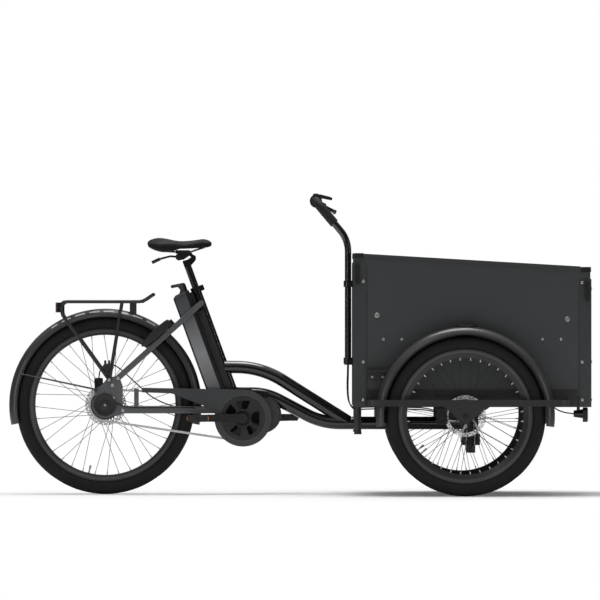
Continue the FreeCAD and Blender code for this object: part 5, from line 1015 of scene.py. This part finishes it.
def makeCrownTies():
    tie = startBlock("rightCrownTie",
                     (crownTie["width"], crownTie["plate"], crownTie["high"] - crownTie["low"]))
    middle = Vector((rightWheel["centre"].x + crownTie["ahead"], -crownTie["wall"] - crownTie["plate"] / 2,
                     (crownTie["high"] + crownTie["low"]) / 2))
    bpy.ops.transform.translate(value=middle)
    pickAll()
    bpy.ops.mesh.bisect(plane_co=(0, 0, crownTie["split"]), plane_no=(0, 0, 1))
    pickFaces(tie, lambda face: face.normal.y < -0.9 and face.calc_center_median().z < crownTie["split"])
    push((0, -(crownTie["reach"] - crownTie["wall"] - crownTie["plate"]), 0))
    bpy.ops.transform.resize(value=crownTie["tongue"], center_override=middle)
    closeEdit()
    softenEdges(tie, crownTie["bevel"])
    finishPiece(tie, "powderBlack", "carrier")
    left = copyPiece(tie, "leftCrownTie", "carrier", Matrix.Scale(-1, 4, (0, 1, 0)))
    openEdit(left)
    closeEdit()
    print("crown ties fitted")


makeCrownTies()

# key barrel on the ring lock
keyBarrel = {"sides": 40, "radius": 0.0105, "rise": 0.003, "at": (-0.5151, 0, 0.6695),
             "lean": -math.atan2(0.6686, 0.7436), "rim": 0.002, "sink": 0.0008, "slotRim": 0.0035,
             "slotShape": (0.3, 1.3, 1), "slotDeep": 0.0012, "bevel": 0.0003}


def makeKeyBarrel():
    barrel = startDisc("lockKeyBarrel", keyBarrel["sides"], keyBarrel["radius"], keyBarrel["rise"])
    pickFaces(barrel, lambda face: face.normal.z > 0.9)
    bpy.ops.mesh.inset(thickness=keyBarrel["rim"])
    push((0, 0, -keyBarrel["sink"]))
    bpy.ops.mesh.inset(thickness=keyBarrel["slotRim"])
    bpy.ops.transform.resize(value=keyBarrel["slotShape"])
    push((0, 0, -keyBarrel["slotDeep"]))
    closeEdit()
    softenEdges(barrel, keyBarrel["bevel"])
    finishPiece(barrel, "boltZinc", "frame_body",
                Matrix.Translation(keyBarrel["at"]) @ Matrix.Rotation(keyBarrel["lean"], 4, "Y"))
    print("key barrel fitted")


makeKeyBarrel()

# round gear selector on the outside of the near dropout, with low lugs round its wall
selector = {"sides": 64, "radius": 0.043, "depth": 0.011, "rim": 0.006, "sink": 0.004, "boss": 0.017,
            "bossEdge": 0.004, "across": -0.0735, "lugPitch": 0.785, "lugWide": 0.3, "lugRise": 0.0016,
            "wallShare": 0.97, "bevel": 0.0007}


def isLug(face):
    middle = face.calc_center_median()
    onWall = abs(face.normal.z) < 0.1 and middle.length > selector["radius"] * selector["wallShare"]
    return onWall and math.atan2(middle.y, middle.x) % selector["lugPitch"] < selector["lugWide"]


def makeSelector():
    unit = startDisc("gearSelector", selector["sides"], selector["radius"], selector["depth"])
    pickFaces(unit, lambda face: face.normal.z > 0.9)
    bpy.ops.mesh.inset(thickness=selector["rim"])
    push((0, 0, -selector["sink"]))
    bpy.ops.mesh.inset(thickness=selector["radius"] - selector["rim"] - selector["boss"]
                       - selector["bossEdge"])
    bpy.ops.mesh.inset(thickness=selector["bossEdge"])
    push((0, 0, selector["sink"]))
    pickFaces(unit, isLug)
    bpy.ops.mesh.extrude_region_shrink_fatten(TRANSFORM_OT_shrink_fatten={"value": selector["lugRise"]})
    closeEdit()
    softenEdges(unit, selector["bevel"])
    place = Matrix.Translation(rearWheel["centre"] + Vector((0, selector["across"], 0)))
    finishPiece(unit, "mouldedBlack", "frame_body",
                place @ Matrix.Rotation(math.pi / 2, 4, "X"))
    print("gear selector fitted")


makeSelector()

# fat near arm of the ring lock
lockArm = {"size": (0.146, 0.025, 0.033), "at": (-0.5585, -0.0690, 0.6255), "lean": -math.radians(41.96),
           "cuts": 2, "backEnd": (1, 0.7, 0.35), "frontEnd": (1, 0.8, 0.85), "rounds": 3}


def makeLockArm():
    arm = startBlock("ringLockArm", lockArm["size"])
    bpy.ops.mesh.subdivide(number_cuts=lockArm["cuts"])
    for side, shape in ((-1, lockArm["backEnd"]), (1, lockArm["frontEnd"])):
        pickFaces(arm, lambda face: face.normal.x * side > 0.9)
        bpy.ops.transform.resize(value=shape, center_override=(side * lockArm["size"][0] / 2, 0, 0))
    closeEdit()
    makeRounder(arm, lockArm["rounds"])
    finishPiece(arm, "mouldedBlack", "frame_body",
                Matrix.Translation(lockArm["at"]) @ Matrix.Rotation(lockArm["lean"], 4, "Y"))
    print("ring lock arm fitted")


makeLockArm()

# cable guide where the rack legs meet the dropout
cableGuide = {"size": (0.030, 0.014, 0.040), "at": (-0.7475, -0.0770, 0.4860), "barrelRim": 0.003,
              "barrelHigh": 0.016, "windowHalf": 0.01, "windowRim": 0.004, "windowDeep": 0.0025,
              "bevel": 0.0014}


def makeCableGuide():
    guide = startBlock("rackCableGuide", cableGuide["size"])
    bpy.ops.mesh.bisect(plane_co=(0, 0, 0), plane_no=(1, 0, 0))
    pickFaces(guide, lambda face: face.normal.z > 0.9)
    bpy.ops.mesh.inset(thickness=cableGuide["barrelRim"], use_individual=True)
    push((0, 0, cableGuide["barrelHigh"]))
    pickFaces(guide, lambda face: face.normal.y < -0.9
              and abs(face.calc_center_median().z) < cableGuide["windowHalf"])
    bpy.ops.mesh.inset(thickness=cableGuide["windowRim"], use_individual=True)
    push((0, cableGuide["windowDeep"], 0))
    closeEdit()
    softenEdges(guide, cableGuide["bevel"], 3)
    finishPiece(guide, "mouldedBlack", "frame_body", Matrix.Translation(cableGuide["at"]))
    print("cable guide fitted")


makeCableGuide()
